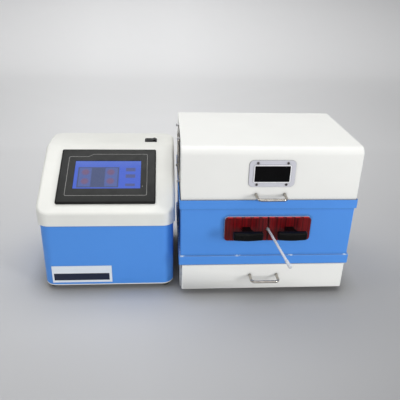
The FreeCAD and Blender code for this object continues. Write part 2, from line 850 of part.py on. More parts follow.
def lamps():
    """Four fluorescent tubes in end holders under a folded reflector, with two ballasts above."""
    middle = case_back / 2
    radius = size("tube_radius")
    tubes = chamber_piece("lamp_tubes")
    cap = size("tube_cap_length")
    tubes.pad("YZ", -tube_half, tube_half, *[circle(y, tube_level, radius) for y in tube_ys])
    tubes.pad("YZ", -tube_half, cap - tube_half, *[circle(y, tube_level, radius + 0.3) for y in tube_ys])
    tubes.pad("YZ", tube_half - cap, tube_half, *[circle(y, tube_level, radius + 0.3) for y in tube_ys])
    holders = chamber_piece("lamp_holders")
    holder = size("lamp_holder_length")
    top = reflector_level
    low = tube_level - radius - 1
    outlines = [rect(y - radius - 1, low, y + radius + 1, top) for y in tube_ys]
    holders.pad("YZ", -tube_half - holder, -tube_half, *outlines)
    holders.pad("YZ", tube_half, tube_half + holder, *outlines)
    holders.fillet(radius * 0.7, lambda edge: straight_along(edge, X_AXIS) and at_level(edge, z=low))
    reflector = chamber_piece("lamp_reflector")
    sheet_t = size("reflector_thickness")
    flat = size("reflector_flat") / 2
    wing = size("reflector_wing")
    drop = size("reflector_drop")
    reach = tube_half + holder + 2
    reflector.pad("YZ", -reach, reach, [
        (middle - flat, reflector_level), (middle - flat - wing, reflector_level - drop),
        (middle - flat - wing - sheet_t, reflector_level - drop),
        (middle - flat - sheet_t / 2, reflector_level + sheet_t),
        (middle + flat + sheet_t / 2, reflector_level + sheet_t),
        (middle + flat + wing + sheet_t, reflector_level - drop),
        (middle + flat + wing, reflector_level - drop), (middle + flat, reflector_level)])
    ballasts = chamber_piece("ballasts")
    half = size("ballast_length") / 2
    width = size("ballast_width")
    for side in (-1, 1):
        centre = middle + side * size("tube_pitch")
        ballasts.pad("XY", reflector_level + sheet_t, hood_top - steel,
                     rect(-half, centre - width / 2, half, centre + width / 2))
    ballasts.chamfer(3, lambda edge: straight_along(edge, X_AXIS)
                     and at_level(edge, z=hood_top - steel))


def diffuser_plate():
    """Clear sheet that lies on the hood's flange and closes the lamp space."""
    piece = chamber_piece("diffuser_plate")
    half = inner_half - seam
    low = hood_bottom + steel
    piece.pad("XY", low, low + size("diffuser_thickness"),
              rect(-half, steel + seam, half, case_back - steel - seam))


def fan():
    """Axial fan inside the hood's left wall, with a chromed wire guard outside."""
    # Each fan piece's own Z points out of the left wall. Its X points up, and its Y to the rear.
    wall = -half_width
    place = {"y": fan_y, "z": fan_z, "turn": zero - 90, "axis": Y_AXIS}
    half = size("fan_size") / 2
    depth = size("fan_depth")
    bore = size("fan_bore_radius")
    hub = size("fan_hub_radius")
    motor = size("fan_motor_depth")
    shaft = size("fan_shaft_radius")
    spots = fan_screw_spots()
    frame = chamber_piece("fan_frame", x=wall + steel, **place)
    frame.pad("XY", -depth, zero, rect(-half, -half, half, half, half * 0.1), circle(zero, zero, bore))
    frame.pad("XY", -depth, motor - depth, circle(zero, zero, hub))
    arm = hub * 0.12
    reach = bore + 0.5
    frame.pad("XY", -depth, motor * 0.5 - depth, rect(-reach, -arm, reach, arm))
    frame.pad("XY", -depth, motor * 0.5 - depth, rect(-arm, -reach, arm, reach))
    frame.cut("XY", -depth, zero, *[circle(u, v, screw_hole) for u, v in spots])
    frame.cut("XY", -depth, motor - depth, circle(zero, zero, shaft + size("running_clearance")))

    rotor = chamber_piece("fan_rotor", x=wall + steel, **place)
    low = motor - depth + seam
    high = -seam * 4
    rotor.pad("XY", low, high, circle(zero, zero, hub - 1))
    rotor.chamfer(hub * 0.1, lambda edge: at_level(edge, z=high))
    rotor.pad("XY", -depth, low, circle(zero, zero, shaft))
    blade_level = (low + high) / 2
    tip = bore - size("fan_tip_clearance")
    root_chord = size("blade_root_chord")
    tip_chord = size("blade_tip_chord")
    thick = size("blade_thickness")
    root = rotor.sketch("YZ", hub - 2, [centred_rect(zero, zero, root_chord, thick)],
                        turn=size("blade_root_pitch"), slide=blade_level)
    end = rotor.sketch("YZ", tip, [centred_rect(zero, zero, tip_chord, thick * 0.7)],
                       turn=size("blade_tip_pitch"), slide=blade_level)
    loft = rotor.add("PartDesign::AdditiveLoft")
    loft.Profile = root
    loft.Sections = [end]
    doc.recompute()
    pattern = rotor.add("PartDesign::PolarPattern")
    pattern.Originals = [loft]
    z_line = next(item for item in rotor.body.Origin.OriginFeatures if item.Role == "Z_Axis")
    pattern.Axis = (z_line, [""])
    pattern.Angle = 360
    pattern.Occurrences = BLADE_COUNT
    rotor.body.Tip = pattern
    doc.recompute()

    guard = chamber_piece("fan_guard", x=wall, **place)
    wire = size("guard_wire_radius")
    stand = size("guard_stand")
    pitch = size("guard_ring_pitch")
    rings = [centred_rect(pitch * (i + 1), stand - wire, wire * 2, wire * 2)
             for i in range(GUARD_RINGS)]
    guard.revolve(*rings)
    span = pitch * GUARD_RINGS
    bar = wire * 0.8
    guard.pad("XY", stand - wire - bar, stand - wire * 0.4, rect(-span, -bar, span, bar))
    guard.pad("XY", stand - wire - bar, stand - wire * 0.4, rect(-bar, -span, bar, span))
    tab = size("guard_tab_radius")
    guard.pad("XY", zero, wire, *[circle(u, v, tab) for u, v in spots])
    corner = size("fan_hole_span") / 2
    arm_half = wire * 1.2
    inner = span / math.sqrt(2) - 1
    for x_side in (-1, 1):
        for y_side in (-1, 1):
            u0, v0 = inner * x_side, inner * y_side
            u1, v1 = corner * x_side, corner * y_side
            du, dv = arm_half * x_side, arm_half * y_side
            guard.pad("XY", zero, stand - wire * 0.5, [(u0 - du, v0 + dv), (u0 + du, v0 - dv),
                                          (u1 + du, v1 - dv), (u1 - du, v1 + dv)])
    guard.cut("XY", zero, stand, *[circle(u, v, screw_hole) for u, v in spots])

    screws = chamber_piece("fan_screws", x=wall, **place)
    screws.pad("XY", stand, stand + size("screw_head_height"),
               *[circle(u, v, size("screw_head_radius")) for u, v in spots])
    screws.pad("XY", -depth, stand, *[circle(u, v, screw_shank) for u, v in spots])


tray_half = inner_half - size("tray_side_gap")
runner_low = size("runner_level") - size("runner_height") / 2
runner_high = size("runner_level") + size("runner_height") / 2
runner_start = base_front + 3


def drawer_runners():
    """Channel runners on the base walls, and the bars on the drawer that slide in them."""
    fixed = chamber_piece("drawer_runners_fixed")
    web = inner_half
    lip_end = inner_half - steel - size("runner_lip")
    end = runner_start + size("runner_length")
    for side in (-1, 1):
        fixed.pad("XZ", runner_start, end, [
            (web * side, runner_low), (lip_end * side, runner_low),
            (lip_end * side, runner_low + steel), ((web - steel) * side, runner_low + steel),
            ((web - steel) * side, runner_high - steel), (lip_end * side, runner_high - steel),
            (lip_end * side, runner_high), (web * side, runner_high)])
    moving = chamber_piece("drawer_runners_moving")
    gap = size("runner_clearance")
    low = runner_low + steel + gap
    high = runner_high - steel - gap
    bar_end = web - steel - gap * 2
    for side in (-1, 1):
        moving.pad("XZ", runner_start + 2, end - 5,
                   rect(tray_half * side, low, bar_end * side, high))
    moving.chamfer(1, lambda edge: straight_along(edge, Y_AXIS)
                   and abs(edge.CenterOfMass.x) > float(bar_end) - 0.1)


drawer_front_y = -size("drawer_front_proud")
pan_inner_y = drawer_front_y + steel


def drawer():
    """Storage drawer: a folded front pan, and a tray of five welded sheets on its inner face."""
    half = half_width - size("drawer_front_inset")
    low = size("drawer_front_bottom")
    high = size("lower_rim_bottom") - size("drawer_gap")
    bend = size("drawer_edge_bend")
    front = chamber_piece("drawer_front")
    front.pad("XZ", drawer_front_y, drawer_back, rect(-half, low, half, high))
    front.fillet(bend, lambda edge: at_level(edge, y=drawer_front_y)
                 or straight_along(edge, Y_AXIS))
    front.cut("XZ", pan_inner_y, drawer_back,
              rect(steel - half, low + steel, half - steel, high - steel, bend - steel))
    legs = (-handle_half, handle_half)
    level = size("drawer_handle_level")
    front.cut("XZ", drawer_front_y, pan_inner_y, *[circle(x, level, screw_hole) for x in legs])
    tray = chamber_piece("drawer_tray")
    sheet_t = size("tray_sheet")
    end = pan_inner_y + size("tray_length")
    floor_top = size("tray_bottom") + sheet_t
    weld = size("tray_weld_gap")
    tray.pad("XY", size("tray_bottom"), floor_top, rect(-tray_half, pan_inner_y, tray_half, end))
    tray.pad("XY", floor_top + weld, size("tray_top"),
             rect(-tray_half, pan_inner_y, tray_half, pan_inner_y + sheet_t),
             rect(-tray_half, end - sheet_t, tray_half, end))
    for side in (-1, 1):
        tray.pad("XY", floor_top + weld, size("tray_top"),
                 rect(tray_half * side, pan_inner_y + sheet_t + weld,
                      (tray_half - sheet_t) * side, end - sheet_t - weld))
    tray.cut("XZ", pan_inner_y, pan_inner_y + sheet_t, *[circle(x, level, screw_hole) for x in legs])
    wire_handle("drawer_handle", drawer_front_y, level)
    handle_screws("drawer_handle_screws", drawer_front_y, level, steel + sheet_t)


plate_low = rack_level - size("rack_plate_drop")
plate_high = plate_low + size("rack_plate_height")
plate_middle = plate_low + size("rack_plate_height") / 2
plate_inner = size("rack_joint") / 2
plate_outer = plate_inner + size("rack_plate_width")
plate_centre = (plate_inner + plate_outer) / 2


def rack(prefix, side):
    """One pull-out rack: red plate, white comb frame with open bays, black T handle, two screws."""
    flange = size("rack_flange")
    corner = size("rack_plate_corner")

    def plate_outline():
        return [(plate_inner * side, plate_low), (plate_outer * side, plate_low, corner),
                (plate_outer * side, plate_high, corner), (plate_inner * side, plate_high)]

    notch = circle(zero, plate_middle, size("plate_notch"))
    rises = (-size("pull_screw_rise"), size("pull_screw_rise"))
    screw_spots = [(plate_centre * side, plate_middle + z) for z in rises]
    screw_holes = [circle(x, z, screw_hole) for x, z in screw_spots]

    plate = chamber_piece(prefix + "_rack_front")
    plate.pad("XZ", -rack_face, -flange, plate_outline())
    plate.chamfer(size("rack_plate_edge"), lambda edge: at_level(edge, y=-rack_face))
    plate.cut("XZ", -rack_face, -flange, notch)
    plate.cut("XZ", -rack_face, -flange, *screw_holes)

    frame = chamber_piece(prefix + "_rack_frame")
    frame.pad("XZ", -flange, zero, plate_outline())
    inner = size("rack_inner")
    outer = size("rack_outer")
    wall = size("rack_wall")
    top = rack_level + size("rack_height")
    frame.pad("XY", rack_level, top, rect(inner * side, -flange, outer * side, rack_depth))
    bay = (outer - inner - wall * 2 - size("rack_rib") * (BAY_COUNT - 1)) / BAY_COUNT
    for i in range(BAY_COUNT):
        start = inner + wall + (bay + size("rack_rib")) * i
        frame.cut("XY", rack_level + wall, top + 1,
                  rect(start * side, zero, (start + bay) * side, rack_depth - wall))
    frame.cut("XZ", -flange, zero, notch)
    frame.cut("XZ", -flange, zero, *screw_holes)

    pull = chamber_piece(prefix + "_rack_handle", x=plate_centre * side, y=-rack_face, z=plate_middle)
    half = size("pull_width") / 2
    reach = size("pull_reach")
    depth = size("pull_depth")
    high = size("pull_height") / 2
    stem_high = size("pull_stem_height") / 2
    stem = size("pull_stem") / 2
    rear_corner = size("pull_rear_corner")
    front_corner = size("pull_front_corner")
    pull.pad("XY", -high, high, [
        (-half, -reach, rear_corner), (half, -reach, rear_corner),
        (half, -reach - depth, front_corner),
        (zero, -reach - depth - size("pull_bow"), size("pull_bow_radius")),
        (-half, -reach - depth, front_corner)])
    pull.fillet(size("pull_edge"), lambda edge: abs(abs(edge.CenterOfMass.z) - float(high)) < 0.01)
    flare = stem + size("pull_flare")
    flare_start = -reach * 0.45
    flare_bend = size("pull_flare_bend")
    flare_end = -reach - size("pull_stem_sink")
    pull.pad("XY", -stem_high, stem_high, [
        (-stem, 0), (stem, 0), (stem, flare_start, flare_bend), (flare, -reach),
        (flare, flare_end), (-flare, flare_end), (-flare, -reach),
        (-stem, flare_start, flare_bend)])
    pull.cut("XZ", -size("pull_bore_depth"), zero, *[circle(zero, z, screw_shank + 0.1) for z in rises])

    screws = chamber_piece(prefix + "_rack_screws")
    screws.pad("XZ", zero, size("screw_head_height"),
               *[circle(x, z, size("rack_screw_head_radius")) for x, z in screw_spots])
    screws.pad("XZ", -rack_face - size("pull_screw_reach"), zero,
               *[circle(x, z, screw_shank) for x, z in screw_spots])


def probe():
    """Round rod that leans to the right, with a clear end cap, in a saddle on the right rack."""
    radius = size("probe_radius")
    out = size("probe_out")
    inside = size("probe_in") + rack_face
    at_face = {"x": size("probe_shift"), "y": -rack_face, "z": plate_middle}
    rod = chamber_piece("probe_rod", turn=probe_yaw, axis=Z_AXIS, **at_face)
    rod.pad("XZ", -out + 2, inside, circle(zero, zero, radius))
    rod.chamfer(radius * 0.4, lambda edge: at_level(edge, y=inside))
    cap = chamber_piece("probe_cap", turn=probe_yaw, axis=Z_AXIS, **at_face)
    cap_radius = size("probe_cap_radius")
    cap.pad("XZ", -out, size("probe_cap_length") - out, circle(zero, zero, cap_radius))
    cap.fillet(cap_radius * 0.5, lambda edge: at_level(edge, y=-out))
    cap.cut("XZ", 2 - out, size("probe_cap_length") - out, circle(zero, zero, radius))
    saddle = chamber_piece("probe_guide", **at_face)
    half_height = radius + size("probe_bush_wall")
    saddle_end = rack_face + size("probe_bush_length")
    left = -size("probe_bush_lip") - size("probe_shift")
    saddle.pad("XZ", rack_face, saddle_end,
               rect(left, -half_height, size("rack_inner") - size("probe_shift"), half_height))
    back = saddle_end + BEYOND
    groove = saddle.sketch("XZ", back, [], turn=probe_yaw, turn_axis=Y_AXIS)
    draw_circle(groove, -back * sine(probe_yaw), zero, radius + size("running_clearance"))
    saddle.cut_sketch(groove, back)


body_inset = size("body_inset")
seam_level = size("cover_seam")
lip_top = seam_level + size("cover_lip")
slope_angle = size("slope_angle")
flat_level = lip_top + size("cover_flat_start") * tangent(slope_angle)


def controller_case():
    """Blue steel sleeve with rounded corners on a thin white base plate."""
    inset = body_inset
    corner = size("body_corner")
    sheet_t = size("body_sheet")
    plate_top = foot_height + size("base_plate_thickness")
    right = controller_width - inset
    back = controller_depth - inset
    body = controller_piece("controller_body")
    body.pad("XY", plate_top, seam_level, rect(inset, inset, right, back, corner),
             rect(inset + sheet_t, inset + sheet_t, right - sheet_t, back - sheet_t, corner - sheet_t))
    inlet_level = plate_top + size("inlet_height_above_plate")
    body.cut("XZ", back - sheet_t - 1, back + 1,
             centred_rect(right * 0.25, inlet_level, size("inlet_width") - 14,
                          size("inlet_height") - 5, 2),
             circle(right * 0.5, inlet_level, socket_hole))
    base = controller_piece("controller_base")
    base.pad("XY", foot_height, plate_top, rect(inset, inset, right, back, corner))
    board_x, board_y = right * 0.68, controller_depth / 2
    boss_x = size("board_width") / 2 - size("board_boss_inset")
    boss_y = size("board_depth") / 2 - size("board_boss_inset")
    bosses = [(board_x + boss_x * i, board_y + boss_y * j) for i in (-1, 1) for j in (-1, 1)]
    base.pad("XY", plate_top, plate_top + size("board_level"), 
             *[circle(x, y, size("board_boss_radius")) for x, y in bosses])
    spots = [(x, y) for x in (size("foot_inset"), controller_width - size("foot_inset"))
             for y in (size("foot_inset"), controller_depth - size("foot_inset"))]
    feet("controller_feet", controller_piece, spots)
    board = controller_piece("control_board")
    low = plate_top + size("board_level")
    top = low + size("board_thickness")
    board.pad("XY", low, top, centred_rect(board_x, board_y, size("board_width"), size("board_depth")))
    for x, y, width, depth, height in BOARD_BLOCKS.values():
        board.pad("XY", top, top + height, centred_rect(board_x + x, board_y + y, width, depth))
    supply = controller_piece("power_supply")
    supply_x = right * 0.25
    supply.pad("XY", plate_top, plate_top + size("supply_height"),
               centred_rect(supply_x, board_y - 20, size("supply_width"), size("supply_depth")))
    supply.chamfer(2, lambda edge: straight_along(edge, Y_AXIS)
                   and at_level(edge, z=plate_top + size("supply_height")))
    label = controller_piece("label_plate")
    left = size("label_left")
    bottom = size("label_bottom")
    label.pad("XZ", inset - size("label_thickness"), inset,
              rect(left, bottom, left + size("label_width"), bottom + size("label_height"), 1))
    power_inlet(x=supply_x, y=back, z=inlet_level)
    signal_socket(controller_piece("signal_socket", x=right * 0.5, y=back, z=inlet_level))


def power_inlet(**place):
    """Panel inlet for a mains lead: flanged block with an open recess, and three pins in it."""
    width = size("inlet_width")
    height = size("inlet_height")
    floor = size("inlet_floor") - size("inlet_depth")
    mouth = size("inlet_flange")
    block = controller_piece("power_inlet", **place)
    block.pad("XZ", zero, mouth, centred_rect(zero, zero, width, height, 3))
    block.pad("XZ", -size("inlet_depth"), zero, centred_rect(zero, zero, width - 15, height - 6, 2))
    block.cut("XZ", floor, mouth, centred_rect(zero, zero, width - 24, height - 12, 2))
    pins = controller_piece("inlet_pins", **place)
    pitch = size("inlet_pin_pitch")
    pins.pad("XZ", floor, mouth - size("inlet_pin_setback"),
             *[centred_rect(x, 0, 2, 4) for x in (-pitch, zero, pitch)])


def signal_socket(piece):
    """Round panel socket for the lead between the two units."""
    radius = size("socket_radius")
    reach = size("socket_reach")
    flange = size("inlet_flange")
    piece.pad("XZ", zero, flange, circle(zero, zero, radius + 3))
    piece.pad("XZ", -reach, reach, circle(zero, zero, socket_body))
    piece.cut("XZ", flange, reach, circle(zero, zero, size("socket_bore")))


def controller_cover():
    """White moulded cover: upright lip, sloping face, flat top and generous rounded corners."""
    cover = controller_piece("controller_cover")
    width = controller_width
    depth = controller_depth
    cover.pad("XY", seam_level, flat_level, rect(zero, zero, width, depth, size("cover_corner")))
    run = size("cover_flat_start")
    over = run + 20
    cover.cut("YZ", zero - 1, width + 1, [
        (zero - 20, lip_top - 20 * tangent(slope_angle)), (run, flat_level),
        (run, flat_level + 20), (zero - 20, flat_level + 20)])
    edge_radius = size("cover_edge")
    cover.fillet(edge_radius, lambda edge: edge.BoundBox.ZMin > float(lip_top) - 14
                 and not straight_along(edge, Z_AXIS)
                 and not at_level(edge, y=run))
    solid = cover.body.Tip
    mouth = [f"Face{i}" for i, face in enumerate(solid.Shape.Faces, start=1)
             if face.BoundBox.ZMax < float(seam_level) + 0.01]
    hollow = cover.add("PartDesign::Thickness")
    hollow.Base = (solid, mouth)
    hollow.Reversed = True
    hollow.setExpression("Value", text_of(size("cover_wall")))
    cover.settle(hollow)
    wall = size("cover_wall")
    seat = body_inset + size("body_sheet") + 2
    cover.pad("XY", seam_level, seam_level + size("cover_seat"),
              rect(wall / 2, wall / 2, width - wall / 2, depth - wall / 2,
                   size("cover_corner") - wall / 2),
              rect(seat, seat, width - seat, depth - seat, size("cover_corner") - seat))
    up = size("panel_centre_up")
    centre_y = up * cosine(slope_angle)
    centre_z = lip_top + up * sine(slope_angle)
    opening = cover.add("Sketcher::SketchObject")
    base = next(item for item in cover.body.Origin.OriginFeatures if item.Role == "XY_Plane")
    opening.AttachmentSupport = [(base, "")]
    opening.MapMode = "FlatFace"
    opening.AttachmentOffset = Placement(Vector(0, 0, 0), Rotation(X_AXIS, 1))
    opening.setExpression("AttachmentOffset.Rotation.Angle", text_of(slope_angle))
    opening.setExpression("AttachmentOffset.Base.x", text_of(size("panel_centre_x")))
    panel_cut = size("cover_wall") * 2
    opening.setExpression("AttachmentOffset.Base.y", text_of(centre_y + panel_cut * sine(slope_angle)))
    opening.setExpression("AttachmentOffset.Base.z", text_of(centre_z - panel_cut * cosine(slope_angle)))
    draw_outline(opening, centred_rect(zero, zero, size("panel_case_width") + seam * 2,
                                       size("panel_case_height") + seam * 2))
    cover.cut_sketch(opening, panel_cut * 2)
    cover.cut("XY", flat_level - 6, flat_level + 1,
              centred_rect(size("switch_x"), size("switch_y"), size("switch_width") - 3,
                           size("switch_depth") - 3))


def touch_panel():
    """Dark bezel with a recessed display, its rear case behind the cover and four clamps."""
    up = size("panel_centre_up")
    place = {"x": size("panel_centre_x"), "y": up * cosine(slope_angle),
             "z": lip_top + up * sine(slope_angle), "turn": slope_angle}
    width = size("panel_width")
    height = size("panel_height")
    proud = size("panel_proud")
    glass = (size("display_width"), size("display_height"))
    bezel = controller_piece("panel_bezel", **place)
    bezel.pad("XY", zero, proud, centred_rect(zero, zero, width, height, size("panel_corner")))
    bezel.chamfer(1.8, lambda edge: at_level(edge, z=proud) or (
        edge.Curve.TypeId == "Part::GeomCircle" and abs(edge.CenterOfMass.z - float(proud)) < 0.01))
    recess = size("display_recess")
    bezel.cut("XY", proud - recess - size("display_thickness"), proud + 1,
              centred_rect(zero, size("display_up"), glass[0], glass[1]))
    display = controller_piece("panel_display", **place)
    display.pad("XY", proud - recess - size("display_thickness"), proud - recess,
                centred_rect(zero, size("display_up"), glass[0] - 0.2, glass[1] - 0.2))
    case = controller_piece("panel_case", **place)
    case_w = size("panel_case_width")
    case_h = size("panel_case_height")
    deep = size("panel_case_depth")
    case.pad("XY", -deep, zero, centred_rect(zero, zero, case_w, case_h))
    case.chamfer(5, lambda edge: at_level(edge, z=-deep))
    clamps = controller_piece("panel_clamps", **place)
    clamp = size("clamp_width")
    wall = size("cover_wall")
    under = -wall - 0.3
    outlines = [centred_rect(size("panel_case_width") * 0.3 * i, (case_h / 2 + 4.3) * j, clamp, 8)
                for i in (-1, 1) for j in (-1, 1)]
    clamps.pad("XY", under - 14, under, *outlines)


def rocker_switch():
    """Panel rocker switch: framed body and a two-position rocker on a pivot pin."""
    width = size("switch_width")
    depth = size("switch_depth")
    rim = size("switch_rim")
    body_low = -size("switch_body_depth")
    place = {"x": size("switch_x"), "y": size("switch_y"), "z": flat_level}
    well_w = width - rim * 2 - 2
    well_d = depth - rim * 2 - 2
    pivot = size("rocker_pivot_radius")
    frame = controller_piece("switch_frame", **place)
    frame.pad("XY", zero, rim, centred_rect(zero, zero, width, depth, 2.5))
    frame.chamfer(rim * 0.4, lambda edge: at_level(edge, z=rim)
                 or (edge.Curve.TypeId == "Part::GeomCircle" and edge.BoundBox.ZMin > float(rim) - 0.01))
    frame.pad("XY", body_low, zero, centred_rect(zero, zero, width - 3.4, depth - 3.4))
    frame.cut("XY", zero - size("rocker_well"), rim + 1, centred_rect(zero, zero, well_w, well_d))
    frame.cut("XZ", -depth / 2 + 1.9, depth / 2 - 1.9,
              circle(zero, zero, pivot + size("running_clearance")))
    frame.pad("XY", body_low - 8, body_low, centred_rect(-7, 0, 1, 6), centred_rect(7, 0, 1, 6))
    tilt = size("rocker_half_tilt")
    rocker = controller_piece("power_rocker", turn=-tilt, axis=Y_AXIS, **place)
    half_w = well_w / 2 - size("rocker_side_gap")
    half_d = well_d / 2 - size("rocker_clearance")
    crown = rim * 0.7
    wing = crown + half_w * tangent(tilt)
    keel = size("rocker_keel")
    rocker.pad("XZ", -half_d, half_d, [
        (-half_w * 0.5, -keel), (half_w * 0.5, -keel), (half_w - 0.4, -1), (half_w, wing),
        (zero, crown, 16), (-half_w, wing), (0.4 - half_w, -1)])
    rocker.pad("XZ", -depth / 2 + 2.1, depth / 2 - 2.1, circle(zero, zero, pivot))


def rear_sockets():
    """Socket for the controller's lead on the base housing's rear wall."""
    signal_socket(chamber_piece("chamber_socket", x=rear_socket_x, y=case_back, z=rear_socket_z))


base_housing()
foot_spots = [(x, y) for x in (size("foot_inset") - half_width, half_width - size("foot_inset"))
              for y in (base_front + size("foot_inset"), case_back - size("foot_inset"))]
feet("base_feet", chamber_piece, foot_spots)
chamber_body()
chamber_floor()
rack_bridge()
rack_guides()
hood_gasket()
hinges()
hood_shell()
viewing_window()
wire_handle("hood_handle", zero, size("hood_handle_level"))
handle_screws("hood_handle_screws", zero, size("hood_handle_level"), steel)
lamps()
diffuser_plate()
fan()
drawer_runners()
drawer()
rack("left", -1)
rack("right", 1)
probe()
controller_case()
controller_cover()
touch_panel()
rocker_switch()
rear_sockets()

doc.recompute()
for item in doc.Objects:
    if "Invalid" in item.State or "Error" in item.State:
        raise RuntimeError(f"{item.Name} did not build: {item.State}")
os.makedirs("parts", exist_ok=True)
for node in NODES:
    if node.Shape.isNull() or not node.Shape.isValid():
        raise RuntimeError(f"{node.Label} has no valid shape")
    node.Shape.exportStep(f"parts/{node.Label}.step")
    print(node.Label, len(node.Shape.Solids), round(node.Shape.Volume, 1))
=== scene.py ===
import math

import bmesh
import bpy
from mathutils import Matrix, Vector


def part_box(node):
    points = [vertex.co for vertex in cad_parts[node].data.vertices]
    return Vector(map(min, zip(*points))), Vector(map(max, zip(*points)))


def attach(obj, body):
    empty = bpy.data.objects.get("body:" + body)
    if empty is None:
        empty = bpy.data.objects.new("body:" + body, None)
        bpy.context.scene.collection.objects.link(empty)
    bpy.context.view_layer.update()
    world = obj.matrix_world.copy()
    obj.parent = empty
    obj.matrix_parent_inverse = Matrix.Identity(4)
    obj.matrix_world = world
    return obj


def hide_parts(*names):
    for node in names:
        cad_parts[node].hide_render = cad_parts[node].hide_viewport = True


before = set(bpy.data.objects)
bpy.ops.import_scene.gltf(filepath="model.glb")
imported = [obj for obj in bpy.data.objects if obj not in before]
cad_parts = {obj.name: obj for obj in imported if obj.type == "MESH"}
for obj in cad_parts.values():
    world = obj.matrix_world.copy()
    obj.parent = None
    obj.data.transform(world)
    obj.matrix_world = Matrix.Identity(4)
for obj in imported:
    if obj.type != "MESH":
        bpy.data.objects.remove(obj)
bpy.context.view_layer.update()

scene = bpy.context.scene
scene.view_settings.view_transform = "Standard"


# Bench and studio. The instrument stands on pale grey paper that lies flat under it and sweeps
# up behind it. A broad softbox hangs above, one stands in front, and a strip stands at each side.

PAPER_WIDTH = 18.0
PAPER_FRONT = -8.0
PAPER_BEND_START = 2.4
PAPER_BEND_RADIUS = 1.0
PAPER_BEND_STEPS = 24
PAPER_TOP = 4.0
# The paper's colour holds a painted pool of light round a spot behind the instrument.
LIGHT_POOL_X = -0.26
LIGHT_POOL_SPREAD = 0.95
LIGHT_POOL_SPREAD_BEHIND = 0.42
LIGHT_POOL_SIDE = (0.15, 1.05)
LIGHT_POOL_NEAR = (-0.45, 1.0)
LIGHT_POOL_HEIGHT = 0.7
SIDE_SHADE = 0.45
NEAR_SHADE = 0.7
HIGH_SHADE = 0.5
FULL_SHADE = 1.1
SET_SIDE = (2.0, 3.4)
SET_FRONT = (-2.6, -1.2)
GLOW_DEPTH = (0.9, 3.2)
FAR_PAPER_GLOW = 0.5
OUTSIDE_GLOW = 0.25
CONTACT_SHADOW_REACH = 0.06
CONTACT_SHADOW_DEPTH = 0.5
AIR_LIGHT = 0.4


def linear(red, green, blue):
    """A colour as a paint card gives it, 0 to 255 a channel, made linear for the shaders."""
    def channel(value):
        value = value / 255
        return value / 12.92 if value <= 0.04045 else ((value + 0.055) / 1.055) ** 2.4
    return (channel(red), channel(green), channel(blue), 1.0)


def new_finish(name, colour, roughness, more=None):
    """A node material with one Principled shader, set as given, and that shader's tree."""
    finish = bpy.data.materials.new(name)
    finish.use_nodes = True
    tree = finish.node_tree
    shader = tree.nodes["Principled BSDF"]
    for socket, value in {"Base Color": colour, "Roughness": roughness, **(more or {})}.items():
        shader.inputs[socket].default_value = value
    return finish, tree, shader


def put(tree, kind, feeds=None, **settings):
    """Adds a node, sets its options, and feeds its inputs with sockets or plain values."""
    node = tree.nodes.new(kind)
    for option, value in settings.items():
        setattr(node, option, value)
    for socket, value in (feeds or {}).items():
        if isinstance(value, bpy.types.NodeSocket):
            tree.links.new(value, node.inputs[socket])
        else:
            node.inputs[socket].default_value = value
    return node


def own_place(tree):
    """The point on the piece in the instrument's own metres."""
    return put(tree, "ShaderNodeTexCoord").outputs["Object"]


def own_axes(tree):
    """The x, y and z of that point, each by itself."""
    return put(tree, "ShaderNodeSeparateXYZ", {"Vector": own_place(tree)}).outputs


def noise(tree, scale, detail=3.0, roughness=0.5, stretch=(1.0, 1.0, 1.0)):
    """Cloudy noise with so many cells to the metre, drawn out where stretch is small."""
    place = put(tree, "ShaderNodeMapping", {"Vector": own_place(tree), "Scale": stretch})
    cloud = put(tree, "ShaderNodeTexNoise",
                {"Vector": place.outputs[0], "Scale": scale, "Detail": detail,
                 "Roughness": roughness})
    return cloud.outputs["Fac"]


def rescale(tree, value, low, high, new_low=0.0, new_high=1.0):
    """Maps a value from one span to another and holds it at the ends."""
    return put(tree, "ShaderNodeMapRange",
               {"Value": value, "From Min": low, "From Max": high, "To Min": new_low,
                "To Max": new_high}).outputs["Result"]


def work(tree, operation, *values):
    """One step of arithmetic on sockets or numbers."""
    node = put(tree, "ShaderNodeMath", dict(enumerate(values)), operation=operation)
    return node.outputs[0]


def times(tree, first, *others):
    """The product of sockets or numbers."""
    for other in others:
        first = work(tree, "MULTIPLY", first, other)
    return first


def apart(tree, first, second):
    """How far apart two values are."""
    return work(tree, "ABSOLUTE", work(tree, "SUBTRACT", first, second))


def blend_colours(tree, share, first, second, way="MIX"):
    """Mixes two colours by a share from 0, the first, to 1, the second."""
    return put(tree, "ShaderNodeMix", {0: share, 6: first, 7: second}, data_type="RGBA",
               blend_type=way).outputs[2]


def shaded(tree, colour, share):
    """A colour darkened: as it is at a share of 1, black at 0."""
    return blend_colours(tree, 1.0, colour, share, "MULTIPLY")


def feed(tree, shader, name, value):
    """Links a socket to the shader's input of that name."""
    tree.links.new(value, shader.inputs[name])


def painted_crease_shade(tree, reach, depth, closed=0.35, open_air=0.9):
    """Painted shade: 1 in the open, down to 1 - depth where two faces meet in a crease."""
    shade = put(tree, "ShaderNodeAmbientOcclusion", {"Distance": reach}, samples=6)
    return rescale(tree, shade.outputs["AO"], closed, open_air, 1.0 - depth, 1.0)


def seen_directly(tree):
    """1 for rays from the eye, and for those that metal and glass pass on, 0 for lighting."""
    ray = put(tree, "ShaderNodeLightPath").outputs
    passed_on = work(tree, "ADD", ray["Is Glossy Ray"], ray["Is Transmission Ray"])
    return work(tree, "MINIMUM", 1.0, work(tree, "ADD", ray["Is Camera Ray"], passed_on))


